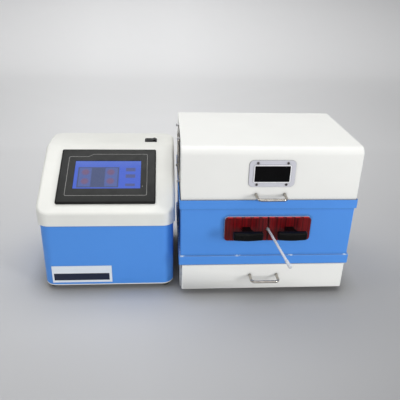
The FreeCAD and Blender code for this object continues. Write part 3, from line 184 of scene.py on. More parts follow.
def paper_finish():
    """Matt paper with painted light and shade: palest behind the instrument, greyer near the eye,
    at the sides and high up.
    """
    finish, tree, shader = new_finish("studio_paper", linear(222, 222, 222), 0.92)
    x, y, z = own_axes(tree)
    # Painted light and shade: palest round the spot, greyer towards the eye, the sides and the
    # top.
    spread = work(tree, "MULTIPLY_ADD", work(tree, "MAXIMUM", y, 0.0), LIGHT_POOL_SPREAD_BEHIND,
                  LIGHT_POOL_SPREAD)
    side = rescale(tree, work(tree, "DIVIDE", apart(tree, x, LIGHT_POOL_X), spread), *LIGHT_POOL_SIDE)
    near = rescale(tree, y, *LIGHT_POOL_NEAR, 1.0, 0.0)
    high = rescale(tree, z, 0.0, LIGHT_POOL_HEIGHT)
    shade = work(tree, "ADD", times(tree, side, SIDE_SHADE), times(tree, near, NEAR_SHADE))
    shade = work(tree, "ADD", shade, times(tree, high, HIGH_SHADE))
    outside = work(tree, "MAXIMUM", rescale(tree, work(tree, "ABSOLUTE", x), *SET_SIDE),
                   rescale(tree, y, *SET_FRONT, 1.0, 0.0))
    shade = times(tree, rescale(tree, shade, 0.0, FULL_SHADE),
                  work(tree, "SUBTRACT", 1.0, outside))
    paper = blend_colours(tree, shade, linear(238, 238, 238), linear(140, 140, 141))
    # Painted contact shadow: the paper darkens where the instrument stands close over it.
    painted_contact_shadow = painted_crease_shade(tree, CONTACT_SHADOW_REACH, CONTACT_SHADOW_DEPTH, 0.45, 0.98)
    paper = shaded(tree, paper, painted_contact_shadow)
    fibre = rescale(tree, noise(tree, 700.0, 2.0), 0.3, 0.7, 0.985, 1.0)
    paper = shaded(tree, paper, fibre)
    feed(tree, shader, "Base Color", paper)
    # Painted glow: the far paper, and the paper outside the set, glow for rays from the eye.
    painted_far_glow = work(tree, "MAXIMUM", rescale(tree, y, *GLOW_DEPTH, 0.0, FAR_PAPER_GLOW),
                   times(tree, outside, OUTSIDE_GLOW))
    feed(tree, shader, "Emission Color", paper)
    feed(tree, shader, "Emission Strength", times(tree, seen_directly(tree), painted_far_glow))
    return finish


def paper_sheet():
    """The swept sheet, from its front edge along the bench and up behind."""
    turns = [math.radians(90 * i / PAPER_BEND_STEPS) for i in range(PAPER_BEND_STEPS + 1)]
    bend = [(PAPER_BEND_START + PAPER_BEND_RADIUS * math.sin(turn),
             PAPER_BEND_RADIUS * (1 - math.cos(turn))) for turn in turns]
    line = [(PAPER_FRONT, 0.0)] + bend + [(PAPER_BEND_START + PAPER_BEND_RADIUS, PAPER_TOP)]
    points = [(x, y, z) for y, z in line for x in (-PAPER_WIDTH / 2, PAPER_WIDTH / 2)]
    faces = [(2 * i, 2 * i + 1, 2 * i + 3, 2 * i + 2) for i in range(len(line) - 1)]
    mesh = bpy.data.meshes.new("studio_paper")
    mesh.from_pydata(points, [], faces)
    mesh.shade_smooth()
    mesh.materials.append(paper_finish())
    sheet = bpy.data.objects.new("studio_paper", mesh)
    scene.collection.objects.link(sheet)


def soft_lamp(name, place, aim, width, height, power):
    """A rectangular softbox that faces a point."""
    lamp = bpy.data.lights.new(name, "AREA")
    lamp.shape = "RECTANGLE"
    lamp.size = width
    lamp.size_y = height
    lamp.energy = power
    holder = bpy.data.objects.new(name, lamp)
    holder.location = place
    holder.rotation_euler = (Vector(aim) - Vector(place)).to_track_quat("-Z", "Y").to_euler()
    scene.collection.objects.link(holder)


paper_sheet()
soft_lamp("top_lamp", (-0.1, 0.5, 2.2), (0.0, 0.05, 0.2), 1.9, 1.5, 29.0)
soft_lamp("front_lamp", (0.0, -2.5, 1.0), (0.05, 0.0, 0.2), 2.4, 1.4, 20.2)
soft_lamp("left_lamp", (-2.2, -0.5, 0.9), (0.0, 0.0, 0.2), 0.7, 1.4, 6.0)
soft_lamp("right_lamp", (1.9, -1.6, 0.75), (0.0, 0.0, 0.2), 0.5, 0.9, 26.0)

air = bpy.data.worlds.new("studio_air")
air.use_nodes = True
air_tree = air.node_tree
background = air_tree.nodes["Background"]
seen = seen_directly(air_tree)
feed(air_tree, background, "Color",
     blend_colours(air_tree, seen, (0.78, 0.79, 0.81, 1.0), linear(196, 196, 197)))
feed(air_tree, background, "Strength", rescale(air_tree, seen, 0.0, 1.0, AIR_LIGHT, 1.0))
scene.world = air


# Camera, at the photograph's viewing angle: above the instrument and slightly left of its
# middle, looking down, with a very slight roll.

CAMERA_PLACE = (-0.0695, -1.0411, 0.7072)
CAMERA_YAW = 0.078
CAMERA_PITCH = 0.443
CAMERA_ROLL = 0.029
CAMERA_LENS = 44.0


def aim_camera():
    """A camera at that place, turned by yaw, then pitch, then roll."""
    ahead = Vector((math.sin(CAMERA_YAW), math.cos(CAMERA_YAW), 0))
    level = Vector((math.cos(CAMERA_YAW), -math.sin(CAMERA_YAW), 0))
    forward = ahead * math.cos(CAMERA_PITCH) - Vector((0, 0, math.sin(CAMERA_PITCH)))
    upward = Vector((0, 0, math.cos(CAMERA_PITCH))) + ahead * math.sin(CAMERA_PITCH)
    right = level * math.cos(CAMERA_ROLL) + upward * math.sin(CAMERA_ROLL)
    above = upward * math.cos(CAMERA_ROLL) - level * math.sin(CAMERA_ROLL)
    lens = bpy.data.cameras.new("bench_camera")
    lens.lens = CAMERA_LENS
    lens.sensor_width = 36.0
    lens.clip_start = 0.02
    lens.clip_end = 40.0
    camera = bpy.data.objects.new("bench_camera", lens)
    turned = Matrix((right, above, -forward)).transposed().to_4x4()
    camera.matrix_world = Matrix.Translation(CAMERA_PLACE) @ turned
    scene.collection.objects.link(camera)
    scene.camera = camera


aim_camera()


# Base housing. The lower box is folded sheet steel with a white powder coat, open at the front
# for the drawer. The coat has a fine orange peel, is a little worn along the folds, and has
# painted shade in its creases.

WHITE_COAT = linear(240, 240, 236)
WHITE_PRIMER = linear(205, 206, 204)
CREASE_SHADE_REACH = 0.008
CREASE_SHADE_DEPTH = 0.75
EDGE_TONE_REACH = 0.0007
EDGE_TONE_SHARE = 0.6
WELD_DISTANCE = 0.000002
FLAT_ANGLE = math.radians(0.4)
SHARP_ANGLE = math.radians(32)
EDGE_STEPS = 2
SHEET_EDGE = 0.0004


def soft_edge(tree, radius):
    """How far a point lies on an outer or inner edge: 0 on a flat, near 1 on a sharp fold."""
    rounded = put(tree, "ShaderNodeBevel", {"Radius": radius}, samples=4)
    true = put(tree, "ShaderNodeNewGeometry")
    facing = put(tree, "ShaderNodeVectorMath", {0: rounded.outputs[0], 1: true.outputs["Normal"]},
                 operation="DOT_PRODUCT")
    return rescale(tree, facing.outputs["Value"], 1.0, 0.8)


def roughen(tree, shader, height, depth):
    """Bump of the given depth in metres."""
    bump = put(tree, "ShaderNodeBump", {"Height": height, "Distance": depth})
    feed(tree, shader, "Normal", bump.outputs[0])


def uneven_gloss(tree, shader, cloud, smoothest, roughest, low=0.3, high=0.7):
    """Roughness that follows a cloud's span from low to high."""
    feed(tree, shader, "Roughness", rescale(tree, cloud, low, high, smoothest, roughest))


def two_tones(tree, shader, share, first, second):
    """Colour that goes from the first tone to the second by a share."""
    feed(tree, shader, "Base Color", blend_colours(tree, share, first, second))


def powder_coat(name, colour, edge_colour, peel=0.00006, roughness=0.5):
    """Baked powder paint: orange peel, faint clouds, painted shade in creases, an edge tone on
    folds.
    """
    finish, tree, shader = new_finish(name, colour, roughness)
    clouds = rescale(tree, noise(tree, 9.0), 0.25, 0.75, 0.965, 1.0)
    # Painted shade: the coat darkens in creases and close to other faces.
    shade_in_creases = painted_crease_shade(tree, CREASE_SHADE_REACH, CREASE_SHADE_DEPTH)
    patchy = rescale(tree, noise(tree, 160.0, 4.0, 0.65), 0.45, 0.62)
    # The edge tone on the folds is worn paint on the white coat, and a painted highlight where it
    # is paler.
    edge_wear_and_highlight = times(tree, soft_edge(tree, EDGE_TONE_REACH), patchy, EDGE_TONE_SHARE)
    coat = shaded(tree, colour, times(tree, clouds, shade_in_creases))
    two_tones(tree, shader, edge_wear_and_highlight, coat, edge_colour)
    uneven_gloss(tree, shader, noise(tree, 40.0, 4.0), roughness - 0.05, roughness + 0.07)
    roughen(tree, shader, noise(tree, 700.0, 2.0, 0.4), peel)
    return finish


def merged(node):
    """A CAD node's triangles, joined into one surface with flat faces made whole."""
    surface = bmesh.new()
    surface.from_mesh(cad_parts[node].data)
    bmesh.ops.remove_doubles(surface, verts=surface.verts, dist=WELD_DISTANCE)
    bmesh.ops.dissolve_limit(surface, angle_limit=FLAT_ANGLE, verts=surface.verts,
                             edges=surface.edges, use_dissolve_boundaries=False)
    return surface


def make_piece(name, surface, finish):
    """An object from a surface, smooth-shaded up to the sharp angle."""
    mesh = bpy.data.meshes.new(name)
    surface.to_mesh(mesh)
    surface.free()
    mesh.materials.append(finish)
    mesh.shade_smooth()
    mesh.set_sharp_from_angle(angle=SHARP_ANGLE)
    piece = bpy.data.objects.new(name, mesh)
    scene.collection.objects.link(piece)
    return piece


def plain_mesh(piece):
    """Turns what the modifiers make into the piece's own mesh, and takes them off."""
    graph = bpy.context.evaluated_depsgraph_get()
    made = bpy.data.meshes.new_from_object(piece.evaluated_get(graph), depsgraph=graph)
    piece.modifiers.clear()
    piece.data = made


def round_edges(piece, width):
    """Breaks the sharp edges, as a fold, a file or a mould leaves them."""
    bevel = piece.modifiers.new("broken_edges", "BEVEL")
    bevel.width = width
    bevel.segments = EDGE_STEPS
    bevel.limit_method = "ANGLE"
    bevel.angle_limit = SHARP_ANGLE
    bevel.harden_normals = True
    plain_mesh(piece)


def finished_node(node, name, finish, body, edge=0.0):
    """A CAD node's own shape with broken edges and smooth rounds, standing for that node."""
    piece = make_piece(name, merged(node), finish)
    if edge:
        round_edges(piece, edge)
    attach(piece, body)
    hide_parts(node)


white_coat = powder_coat("white_coat", WHITE_COAT, WHITE_PRIMER)
finished_node("base_housing", "base_sheet", white_coat, "stand", SHEET_EDGE)


# Feet of both units. Turned rubber pads, screwed on from below. The rubber is matt and picks up
# pale dust on its sides.

MOULDED_EDGE = 0.0003


def rubber(name):
    """Black rubber with dust in its pores."""
    finish, tree, shader = new_finish(name, linear(28, 28, 29), 0.75)
    dust = rescale(tree, noise(tree, 220.0, 5.0, 0.7), 0.5, 0.75, 0.0, 0.25)
    two_tones(tree, shader, dust, linear(26, 26, 27), linear(120, 118, 114))
    roughen(tree, shader, noise(tree, 1500.0), 0.00008)
    return finish


black_rubber = rubber("black_rubber")
for unit in ("base", "controller"):
    finished_node(unit + "_feet", unit + "_pads", black_rubber, "stand",
                  MOULDED_EDGE)


# Drawer and its runners. The front is a folded pan in the same white coat, with a zinc-plated
# tray behind it on two channel runners.

FINE_EDGE = 0.0002


def rolled_metal(name, colour, roughness, stretch=(1.0, 1.0, 1.0), spangle=0.0):
    """Plated or bare sheet metal: fine lines along the rolling, clouds, and zinc spangle."""
    finish, tree, shader = new_finish(name, colour, roughness, {"Metallic": 1.0})
    lines = noise(tree, 1800.0, 3.0, 0.6, stretch)
    toned = shaded(tree, colour, rescale(tree, noise(tree, 30.0, 4.0), 0.3, 0.7, 0.88, 1.0))
    if spangle:
        cells = put(tree, "ShaderNodeTexVoronoi", {"Vector": own_place(tree), "Scale": 140.0})
        grey = put(tree, "ShaderNodeRGBToBW", {"Color": cells.outputs["Color"]}).outputs[0]
        grey = rescale(tree, grey, 0.0, 1.0, 1.0 - spangle, 1.0)
        toned = shaded(tree, toned, grey)
    feed(tree, shader, "Base Color", toned)
    uneven_gloss(tree, shader, lines, roughness - 0.07, roughness + 0.1)
    roughen(tree, shader, lines, 0.00002)
    return finish


zinc = rolled_metal("zinc_plate", linear(188, 190, 192), 0.38, (1.0, 0.06, 1.0), 0.18)
finished_node("drawer_runners_fixed", "fixed_runners", zinc, "stand", FINE_EDGE)
finished_node("drawer_runners_moving", "sliding_runners", zinc, "drawer", FINE_EDGE)
finished_node("drawer_tray", "drawer_box", zinc, "drawer", FINE_EDGE)
finished_node("drawer_front", "drawer_pan", white_coat, "drawer", SHEET_EDGE)


# Bow handles of the drawer and the hood. Bent steel wire with a small collar at each foot,
# satin nickel plated, held by screws from inside the panel.

BOW_WIRE = 0.0032
BOW_BEND = 0.009
BOW_FOOT = 0.0008
BOW_STRAIGHT = 0.0015
WIRE_ANGLE = math.radians(45)


def new_tree(name, sizes):
    """A geometry tree with a geometry in and out, and a named input for each size."""
    tree = bpy.data.node_groups.new(name, "GeometryNodeTree")
    tree.interface.new_socket("Geometry", in_out="INPUT", socket_type="NodeSocketGeometry")
    tree.interface.new_socket("Geometry", in_out="OUTPUT", socket_type="NodeSocketGeometry")
    for label, value in sizes.items():
        kind = {int: "NodeSocketInt", float: "NodeSocketFloat", tuple: "NodeSocketVector",
                bpy.types.Material: "NodeSocketMaterial"}[type(value)]
        tree.interface.new_socket(label, in_out="INPUT", socket_type=kind)
    return tree, put(tree, "NodeGroupInput").outputs


def close_tree(tree, geometry, finish_input):
    """Realizes what the tree made, gives it its finish, and puts it out."""
    real = put(tree, "GeometryNodeRealizeInstances", {"Geometry": geometry})
    painted = put(tree, "GeometryNodeSetMaterial",
                  {"Geometry": real.outputs[0], "Material": finish_input})
    put(tree, "NodeGroupOutput", {0: painted.outputs[0]})
    return tree


def grown(name, points, edges, tree, sizes, body, sharp=SHARP_ANGLE):
    """Runs a tree on some points and edges, and keeps the result as a plain mesh on a body."""
    base = bpy.data.meshes.new(name)
    base.from_pydata(points, edges, [])
    piece = bpy.data.objects.new(name, base)
    scene.collection.objects.link(piece)
    maker = piece.modifiers.new("maker", "NODES")
    maker.node_group = tree
    for socket in tree.interface.items_tree:
        if socket.in_out == "INPUT" and socket.name in sizes:
            maker[socket.identifier] = sizes[socket.name]
    plain_mesh(piece)
    piece.data.name = name
    piece.data.shade_smooth()
    piece.data.set_sharp_from_angle(angle=sharp)
    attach(piece, body)
    return piece


def bent_wire_tree(sizes):
    """Rounds the corners of a line and sweeps round wire along it, wider at its two ends."""
    tree, given = new_tree("bent_wire", sizes)
    line = put(tree, "GeometryNodeMeshToCurve", {"Mesh": given["Geometry"]})
    bent = put(tree, "GeometryNodeFilletCurve",
               {"Curve": line.outputs[0], "Count": given["Bend steps"],
                "Radius": given["Bend radius"], "Limit Radius": True}, mode="POLY")
    ends = put(tree, "GeometryNodeCurveEndpointSelection", {"Start Size": 1, "End Size": 1})
    flared = put(tree, "GeometryNodeSetCurveRadius",
                 {"Curve": bent.outputs[0], "Selection": ends.outputs[0],
                  "Radius": given["Foot flare"]})
    ring = put(tree, "GeometryNodeCurvePrimitiveCircle",
               {"Resolution": given["Sides"], "Radius": given["Wire radius"]})
    swept = put(tree, "GeometryNodeCurveToMesh",
                {"Curve": flared.outputs[0], "Profile Curve": ring.outputs["Curve"],
                 "Fill Caps": True})
    return close_tree(tree, swept.outputs[0], given["Finish"])


def chain(points, closed=False):
    """The edges that join points in their order."""
    links = [(i, i + 1) for i in range(len(points) - 1)]
    return links + [(len(points) - 1, 0)] if closed else links


def nickel(name):
    """Satin nickel plate, a little warmer and rougher where it has been handled, with painted
    shade in its creases.
    """
    finish, tree, shader = new_finish(name, linear(205, 201, 194), 0.24, {"Metallic": 1.0})
    wipe = noise(tree, 260.0, 4.0, 0.6, (0.2, 1.0, 1.0))
    uneven_gloss(tree, shader, wipe, 0.14, 0.28, 0.35)
    dull = rescale(tree, noise(tree, 90.0), 0.4, 0.7, 0.0, 0.6)
    tone = blend_colours(tree, dull, linear(182, 177, 170), linear(138, 132, 122))
    # Painted shade darkens the plate in creases and close to other faces.
    feed(tree, shader, "Base Color", shaded(tree, tone, painted_crease_shade(tree, CREASE_SHADE_REACH, 0.55)))
    return finish


def bow_handle(body):
    """Bends the wire from one foot, straight at first, over the bar to the other foot."""
    low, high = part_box(body + "_handle")
    level = (low.z + high.z) / 2
    left = low.x + BOW_WIRE + BOW_FOOT
    right = high.x - BOW_WIRE - BOW_FOOT
    bar = low.y + BOW_WIRE
    points = [(x, y, level) for x, y in ((left, high.y), (left, high.y - BOW_STRAIGHT),
                                         (left, bar), (right, bar),
                                         (right, high.y - BOW_STRAIGHT), (right, high.y))]
    wire = grown(body + "_bow", points, chain(points), bent_wire, bow_sizes, body,
                 WIRE_ANGLE)
    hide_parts(body + "_handle")


satin_nickel = nickel("satin_nickel")
plain_steel = rolled_metal("plain_steel", linear(160, 160, 162), 0.3)
bow_sizes = {"Wire radius": BOW_WIRE, "Bend radius": BOW_BEND, "Bend steps": 10, "Sides": 20,
             "Foot flare": 1 + BOW_FOOT / BOW_WIRE, "Finish": satin_nickel}
bent_wire = bent_wire_tree(bow_sizes)
for body in ("drawer", "hood"):
    bow_handle(body)
    finished_node(body + "_handle_screws", body + "_bow_screws", plain_steel, body,
                  FINE_EDGE)


# Test chamber. Blue powder-coated sheet steel whose top and bottom step outwards into a rim.
# The rims' folds carry a painted highlight, strongest on the lower rim's top edge, which has also
# lost specks of paint.

BLUE_COAT = linear(76, 145, 229)
BLUE_PAINTED_HIGHLIGHT = linear(150, 194, 242)
RIM_LEVEL = 0.104
CHIP_HEIGHT = 0.0012
CHIP_LENGTH = 0.0034
CHIP_PITCH = 0.128
CHIP_START = -0.0318
CHIP_RAGGED = 1.6
RIM_HIGHLIGHT_SHARE = 0.4


def reopened(finish):
    """A finish's tree and shader again, and the socket that feeds its colour."""
    tree = finish.node_tree
    shader = tree.nodes["Principled BSDF"]
    return tree, shader, shader.inputs["Base Color"].links[0].from_socket


def rim_paint(name):
    """The blue coat with a painted highlight along the lower rim's fold, and a chip at each weld.
    """
    finish = powder_coat(name, BLUE_COAT, BLUE_PAINTED_HIGHLIGHT)
    tree, shader, painted = reopened(finish)
    x, _, z = own_axes(tree)
    off = apart(tree, z, RIM_LEVEL)
    along = work(tree, "SUBTRACT", x, CHIP_START - CHIP_PITCH / 2)
    from_weld = apart(tree, work(tree, "FLOORED_MODULO", along, CHIP_PITCH), CHIP_PITCH / 2)
    ragged = rescale(tree, noise(tree, 380.0, 4.0, 0.7, (0.5, 1.0, 1.0)), 0.3, 0.7, 0.0,
                     CHIP_RAGGED)
    spot = times(tree, rescale(tree, off, CHIP_HEIGHT * 0.5, CHIP_HEIGHT, 1.0, 0.0),
                 rescale(tree, times(tree, from_weld, ragged), CHIP_LENGTH * 0.6, CHIP_LENGTH,
                         1.0, 0.0))
    # Painted highlight: a pale blue line along the lower rim's top fold.
    ink_thinning_and_rim_highlight = rescale(tree, off, CHIP_HEIGHT * 0.4, CHIP_HEIGHT, RIM_HIGHLIGHT_SHARE, 0.0)
    edge_wear_and_highlight = blend_colours(tree, ink_thinning_and_rim_highlight, painted, BLUE_PAINTED_HIGHLIGHT)
    two_tones(tree, shader, spot, edge_wear_and_highlight, linear(214, 228, 240))
    return finish


# The pale blue edge tone on the folds of the chamber and the controller sleeve is a painted
# highlight.
blue_coat = powder_coat("blue_coat", BLUE_COAT, BLUE_PAINTED_HIGHLIGHT)
finished_node("chamber_body", "chamber_sheet", rim_paint("blue_coat_chipped"), "stand",
              SHEET_EDGE)
finished_node("chamber_floor", "chamber_floor_plate", zinc, "stand", FINE_EDGE)
finished_node("rack_bridge", "rack_bench", zinc, "stand", FINE_EDGE)


# Sample racks. Each is a white moulded comb frame behind a plate of deep red acrylic. The
# plates' cut edges carry a painted glow, brightest along the top edge over each bay.

RED_BODY = linear(112, 9, 15)
RED_DEEP = linear(62, 4, 9)
RED_EDGE_GLOW = linear(214, 44, 36)
RED_SEAM = 0.0009
RED_JOINT_GAP = 0.0004
COMB_PITCH = 0.0196
COMB_LIT = 0.012
COMB_START = 0.0022
COMB_RIB = 0.002
PLATE_EDGE = 0.0006


def moulded(name, colour, roughness, grain=0.00003, subsurface=0.0, specular=0.5):
    """Moulded plastic with a fine spark-eroded texture and slight gloss changes."""
    finish, tree, shader = new_finish(
        name, colour, roughness,
        {"Specular IOR Level": specular, "Subsurface Weight": subsurface,
         "Subsurface Radius": (0.004, 0.004, 0.004), "Subsurface Scale": 0.5})
    tone = rescale(tree, noise(tree, 25.0), 0.3, 0.7, 0.97, 1.0)
    feed(tree, shader, "Base Color", shaded(tree, colour, tone))
    uneven_gloss(tree, shader, noise(tree, 70.0, 4.0), roughness - 0.05, roughness + 0.08)
    roughen(tree, shader, noise(tree, 2200.0, 2.0), grain)
    return finish


def red_acrylic(name):
    """Deep red acrylic: the comb behind shows as dark bars, and the cut edges have a painted
    glow.
    """
    finish, tree, shader = new_finish(name, RED_BODY, 0.3, {"Specular IOR Level": 0.25})
    low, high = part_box("left_rack_front")
    x, _, z = own_axes(tree)
    from_joint = apart(tree, x, high.x + RED_JOINT_GAP)
    along = work(tree, "SUBTRACT", from_joint, COMB_START)
    beat = work(tree, "FLOORED_MODULO", along, COMB_PITCH)
    lit_bay = rescale(tree, beat, COMB_LIT - 0.0006, COMB_LIT, 1.0, 0.0)
    rib = rescale(tree, apart(tree, beat, COMB_PITCH - COMB_RIB), 0.0004, 0.0012, 1.0, 0.0)
    streaks = rescale(tree, noise(tree, 260.0, 4.0, 0.7, (1.0, 1.0, 0.015)), 0.38, 0.62)
    tone = blend_colours(tree, streaks, RED_DEEP, RED_BODY)
    tone = blend_colours(tree, times(tree, rib, 0.8), tone, linear(38, 4, 6))
    # Painted glow: the top edge over each bay and the side edges take a lit colour and a faint
    # emission.
    below_top = work(tree, "SUBTRACT", high.z, z)
    top_edge = rescale(tree, below_top, PLATE_EDGE * 0.7, PLATE_EDGE * 1.2, 1.0, 0.0)
    top_lit = times(tree, top_edge, rescale(tree, lit_bay, 0.0, 1.0, 0.12, 0.85))
    sides_lit = times(tree, soft_edge(tree, 0.001),
                      rescale(tree, below_top, 0.0, PLATE_EDGE * 2, 0.0, 0.6))
    painted_edge_glow = work(tree, "MAXIMUM", sides_lit, top_lit)
    lit = blend_colours(tree, painted_edge_glow, tone, RED_EDGE_GLOW)
    seam = rescale(tree, from_joint, RED_SEAM, RED_SEAM * 1.7, 1.0, 0.0)
    lit = blend_colours(tree, seam, lit, linear(16, 3, 4))
    feed(tree, shader, "Base Color", lit)
    feed(tree, shader, "Emission Color", lit)
    feed(tree, shader, "Emission Strength", times(tree, painted_edge_glow, 0.15))
    scratches = noise(tree, 500.0, 4.0, 0.7, (0.15, 1.0, 1.0))
    uneven_gloss(tree, shader, scratches, 0.28, 0.42, 0.4)
    return finish


red_plate = red_acrylic("red_acrylic")
black_plastic = moulded("black_moulding", linear(10, 10, 11), 0.42, 0.00004, specular=0.3)
white_plastic = moulded("white_comb_plastic", linear(232, 232, 228), 0.45, subsurface=0.1)
for side in ("left", "right"):
    body = side + "_rack"
    finished_node(body + "_front", side + "_red_plate", red_plate, body,
                  MOULDED_EDGE)
    finished_node(body + "_frame", side + "_comb", white_plastic, body,
                  FINE_EDGE)
    finished_node(body + "_screws", side + "_pull_screws", plain_steel, body,
                  FINE_EDGE)
finished_node("rack_guides", "guide_strips", white_plastic, "stand",
              MOULDED_EDGE)
finished_node("probe_guide", "rod_saddle", black_plastic, "right_rack",
              FINE_EDGE)


# Rack pulls. Black T-shaped grips moulded in nylon, each on a flared stem, with raised lines
# along the bowed front so that a gloved finger holds.

GRIP_LINE_RADIUS = 0.00055
GRIP_LINE_COUNT = 5
GRIP_LINE_PITCH = 0.0027
GRIP_RUN = 0.029
GRIP_SLOPE = 4 / 33
GRIP_ARC = 0.09
GRIP_POINTS = 8
BEAD_SIDES = 8


def upward(tree, height):
    """A vector of that height along Z."""
    return put(tree, "ShaderNodeCombineXYZ", {"Z": height}).outputs[0]


def grip_line_tree(sizes):
    """Sweeps a fine bead along the given line and repeats it up the grip."""
    tree, given = new_tree("grip_lines", sizes)
    line = put(tree, "GeometryNodeMeshToCurve", {"Mesh": given["Geometry"]})
    round_bead = put(tree, "GeometryNodeCurvePrimitiveCircle",
                     {"Resolution": BEAD_SIDES, "Radius": given["Bead radius"]})
    bead = put(tree, "GeometryNodeCurveToMesh",
               {"Curve": line.outputs[0], "Profile Curve": round_bead.outputs[0],
                "Fill Caps": True})
    lowest = times(tree, work(tree, "SUBTRACT", given["Count"], 1.0), -0.5, given["Pitch"])
    levels = put(tree, "GeometryNodeMeshLine",
                 {"Count": given["Count"], "Start Location": upward(tree, lowest),
                  "Offset": upward(tree, given["Pitch"])})
    rows = put(tree, "GeometryNodeInstanceOnPoints",
               {"Points": levels.outputs[0], "Instance": bead.outputs[0]})
    return close_tree(tree, rows.outputs[0], given["Finish"])


def grip_front(x):
    """How far the bowed front lies behind its foremost point, at a distance from the middle."""
    flat_start = GRIP_ARC * GRIP_SLOPE
    if abs(x) <= flat_start:
        return x * x / (2 * GRIP_ARC)
    return flat_start ** 2 / (2 * GRIP_ARC) + (abs(x) - flat_start) * GRIP_SLOPE


black_nylon = moulded("black_nylon", linear(3, 3, 3), 0.32, 0.00004, specular=0.12)
grip_sizes = {"Bead radius": GRIP_LINE_RADIUS, "Pitch": GRIP_LINE_PITCH,
              "Count": GRIP_LINE_COUNT, "Finish": black_nylon}
grip_lines = grip_line_tree(grip_sizes)
for side in ("left", "right"):
    body = side + "_rack"
    finished_node(body + "_handle", side + "_pull", black_nylon, body,
                  MOULDED_EDGE)
    low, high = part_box(body + "_handle")
    middle = (low.x + high.x) / 2
    level = (low.z + high.z) / 2
    across = [GRIP_RUN * i / GRIP_POINTS for i in range(-GRIP_POINTS, GRIP_POINTS + 1)]
    points = [(middle + x, low.y + grip_front(x), level) for x in across]
    grown(side + "_grip_lines", points, chain(points), grip_lines, grip_sizes, body)


# Probe rod. A white glass-fibre rod that leans out to the right between the racks, with a clear
# sleeve over its tip.

rod_white = moulded("rod_white", linear(214, 216, 222), 0.3, subsurface=0.2)
finished_node("probe_rod", "rod", rod_white, "probe")


def clear_plastic(name, colour, clearness, bending, haze_scale, smoothest, roughest):
    """Clear plastic that bends light, with a haze of so many patches to the metre."""
    finish, tree, shader = new_finish(name, colour, roughest,
                                      {"Transmission Weight": clearness, "IOR": bending})
    uneven_gloss(tree, shader, noise(tree, haze_scale), smoothest, roughest)
    return finish


clear_sleeve = clear_plastic("clear_sleeve", linear(246, 248, 250), 0.45, 1.45, 400.0, 0.1, 0.25)
finished_node("probe_cap", "rod_sleeve", clear_sleeve, "probe")


# Gasket and hinges. A black rubber strip lies on the chamber's upper ledge under the hood, and
# two plain steel butt hinges on pins carry the hood at the rear, each leaf with two screws.

HINGE_WIDTH = 0.06
HINGE_SCREW_SPREAD = 0.02
HINGE_SCREW_INSET = 0.0085
HINGE_SCREW_HEAD = 0.0032
HINGE_SCREW_HEIGHT = 0.0014
LEAF_SHEET = 0.0015
SCREW_SHANK = 0.0019
SCREW_BITE = 0.0006
CROWN_SHARE = 0.72
RECESS_REACH = 1.05
RECESS_WIDTH = 0.26
HEAD_SIDES = 28
SHANK_SIDES = 16


def moved_up(tree, piece, height):
    """A piece of geometry, moved along Z."""
    return put(tree, "GeometryNodeTransform",
               {"Geometry": piece.outputs[0], "Translation": upward(tree, height)}).outputs[0]


def copies(tree, given, piece):
    """Puts the piece at each of the given points, turned as given, and closes the tree."""
    turned = put(tree, "FunctionNodeEulerToRotation", {0: given["Turn"]})
    placed = put(tree, "GeometryNodeInstanceOnPoints",
                 {"Points": given["Geometry"], "Instance": piece, "Rotation": turned.outputs[0]})
    return close_tree(tree, placed.outputs[0], given["Finish"])


def pan_screw_tree(sizes):
    """Pan-head screws with a cross recess, one at each point, heads to the turned side."""
    tree, given = new_tree("pan_screws", sizes)
    radius = given["Head radius"]
    half = times(tree, given["Head height"], 0.5)
    rim = put(tree, "GeometryNodeMeshCylinder",
              {"Vertices": HEAD_SIDES, "Radius": radius, "Depth": half})
    crown = put(tree, "GeometryNodeMeshCone",
                {"Vertices": HEAD_SIDES, "Radius Top": times(tree, radius, CROWN_SHARE),
                 "Radius Bottom": radius, "Depth": half})
    recess = put(tree, "GeometryNodeMeshBoolean", {"Mesh 1": moved_up(tree, crown, half)},
                 operation="DIFFERENCE")
    wing = times(tree, radius, RECESS_REACH)
    slit = times(tree, radius, RECESS_WIDTH)
    for across, along in ((wing, slit), (slit, wing)):
        block = put(tree, "ShaderNodeCombineXYZ",
                    {"X": across, "Y": along, "Z": given["Head height"]})
        cutter = put(tree, "GeometryNodeMeshCube", {"Size": block.outputs[0]})
        tree.links.new(moved_up(tree, cutter, given["Head height"]), recess.inputs["Mesh 2"])
    shank = put(tree, "GeometryNodeMeshCylinder",
                {"Vertices": SHANK_SIDES, "Radius": given["Shank radius"],
                 "Depth": given["Shank length"]})
    whole = put(tree, "GeometryNodeJoinGeometry")
    for part in (moved_up(tree, rim, times(tree, half, 0.5)), recess.outputs[0],
                 moved_up(tree, shank, times(tree, given["Shank length"], -0.5))):
        tree.links.new(part, whole.inputs[0])
    return copies(tree, given, whole.outputs[0])


finished_node("hood_gasket", "gasket", black_rubber, "stand")
finished_node("hinge_pins", "pins", plain_steel, "stand")
dark_steel = rolled_metal("dark_screw_steel", linear(92, 88, 86), 0.35)
screw_sizes = {"Head radius": HINGE_SCREW_HEAD, "Head height": HINGE_SCREW_HEIGHT,
               "Shank radius": SCREW_SHANK, "Shank length": LEAF_SHEET + SCREW_BITE,
               "Turn": (math.radians(-90), 0.0, 0.0), "Finish": dark_steel}
pan_screws = pan_screw_tree(screw_sizes)
for node, leaf, body in (("hinge_base_leaves", "lower", "stand"),
                         ("hood_hinge_leaves", "upper", "hood")):
    finished_node(node, leaf + "_leaves", plain_steel, body, FINE_EDGE)
    low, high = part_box(node)
    level = low.z + HINGE_SCREW_INSET if leaf == "lower" else high.z - HINGE_SCREW_INSET
    middles = (low.x + HINGE_WIDTH / 2, high.x - HINGE_WIDTH / 2)
    spots = [(middle + side * HINGE_SCREW_SPREAD, low.y + LEAF_SHEET, level)
             for middle in middles for side in (-1, 1)]
    grown(leaf + "_leaf_screws", spots, [], pan_screws, screw_sizes, body)


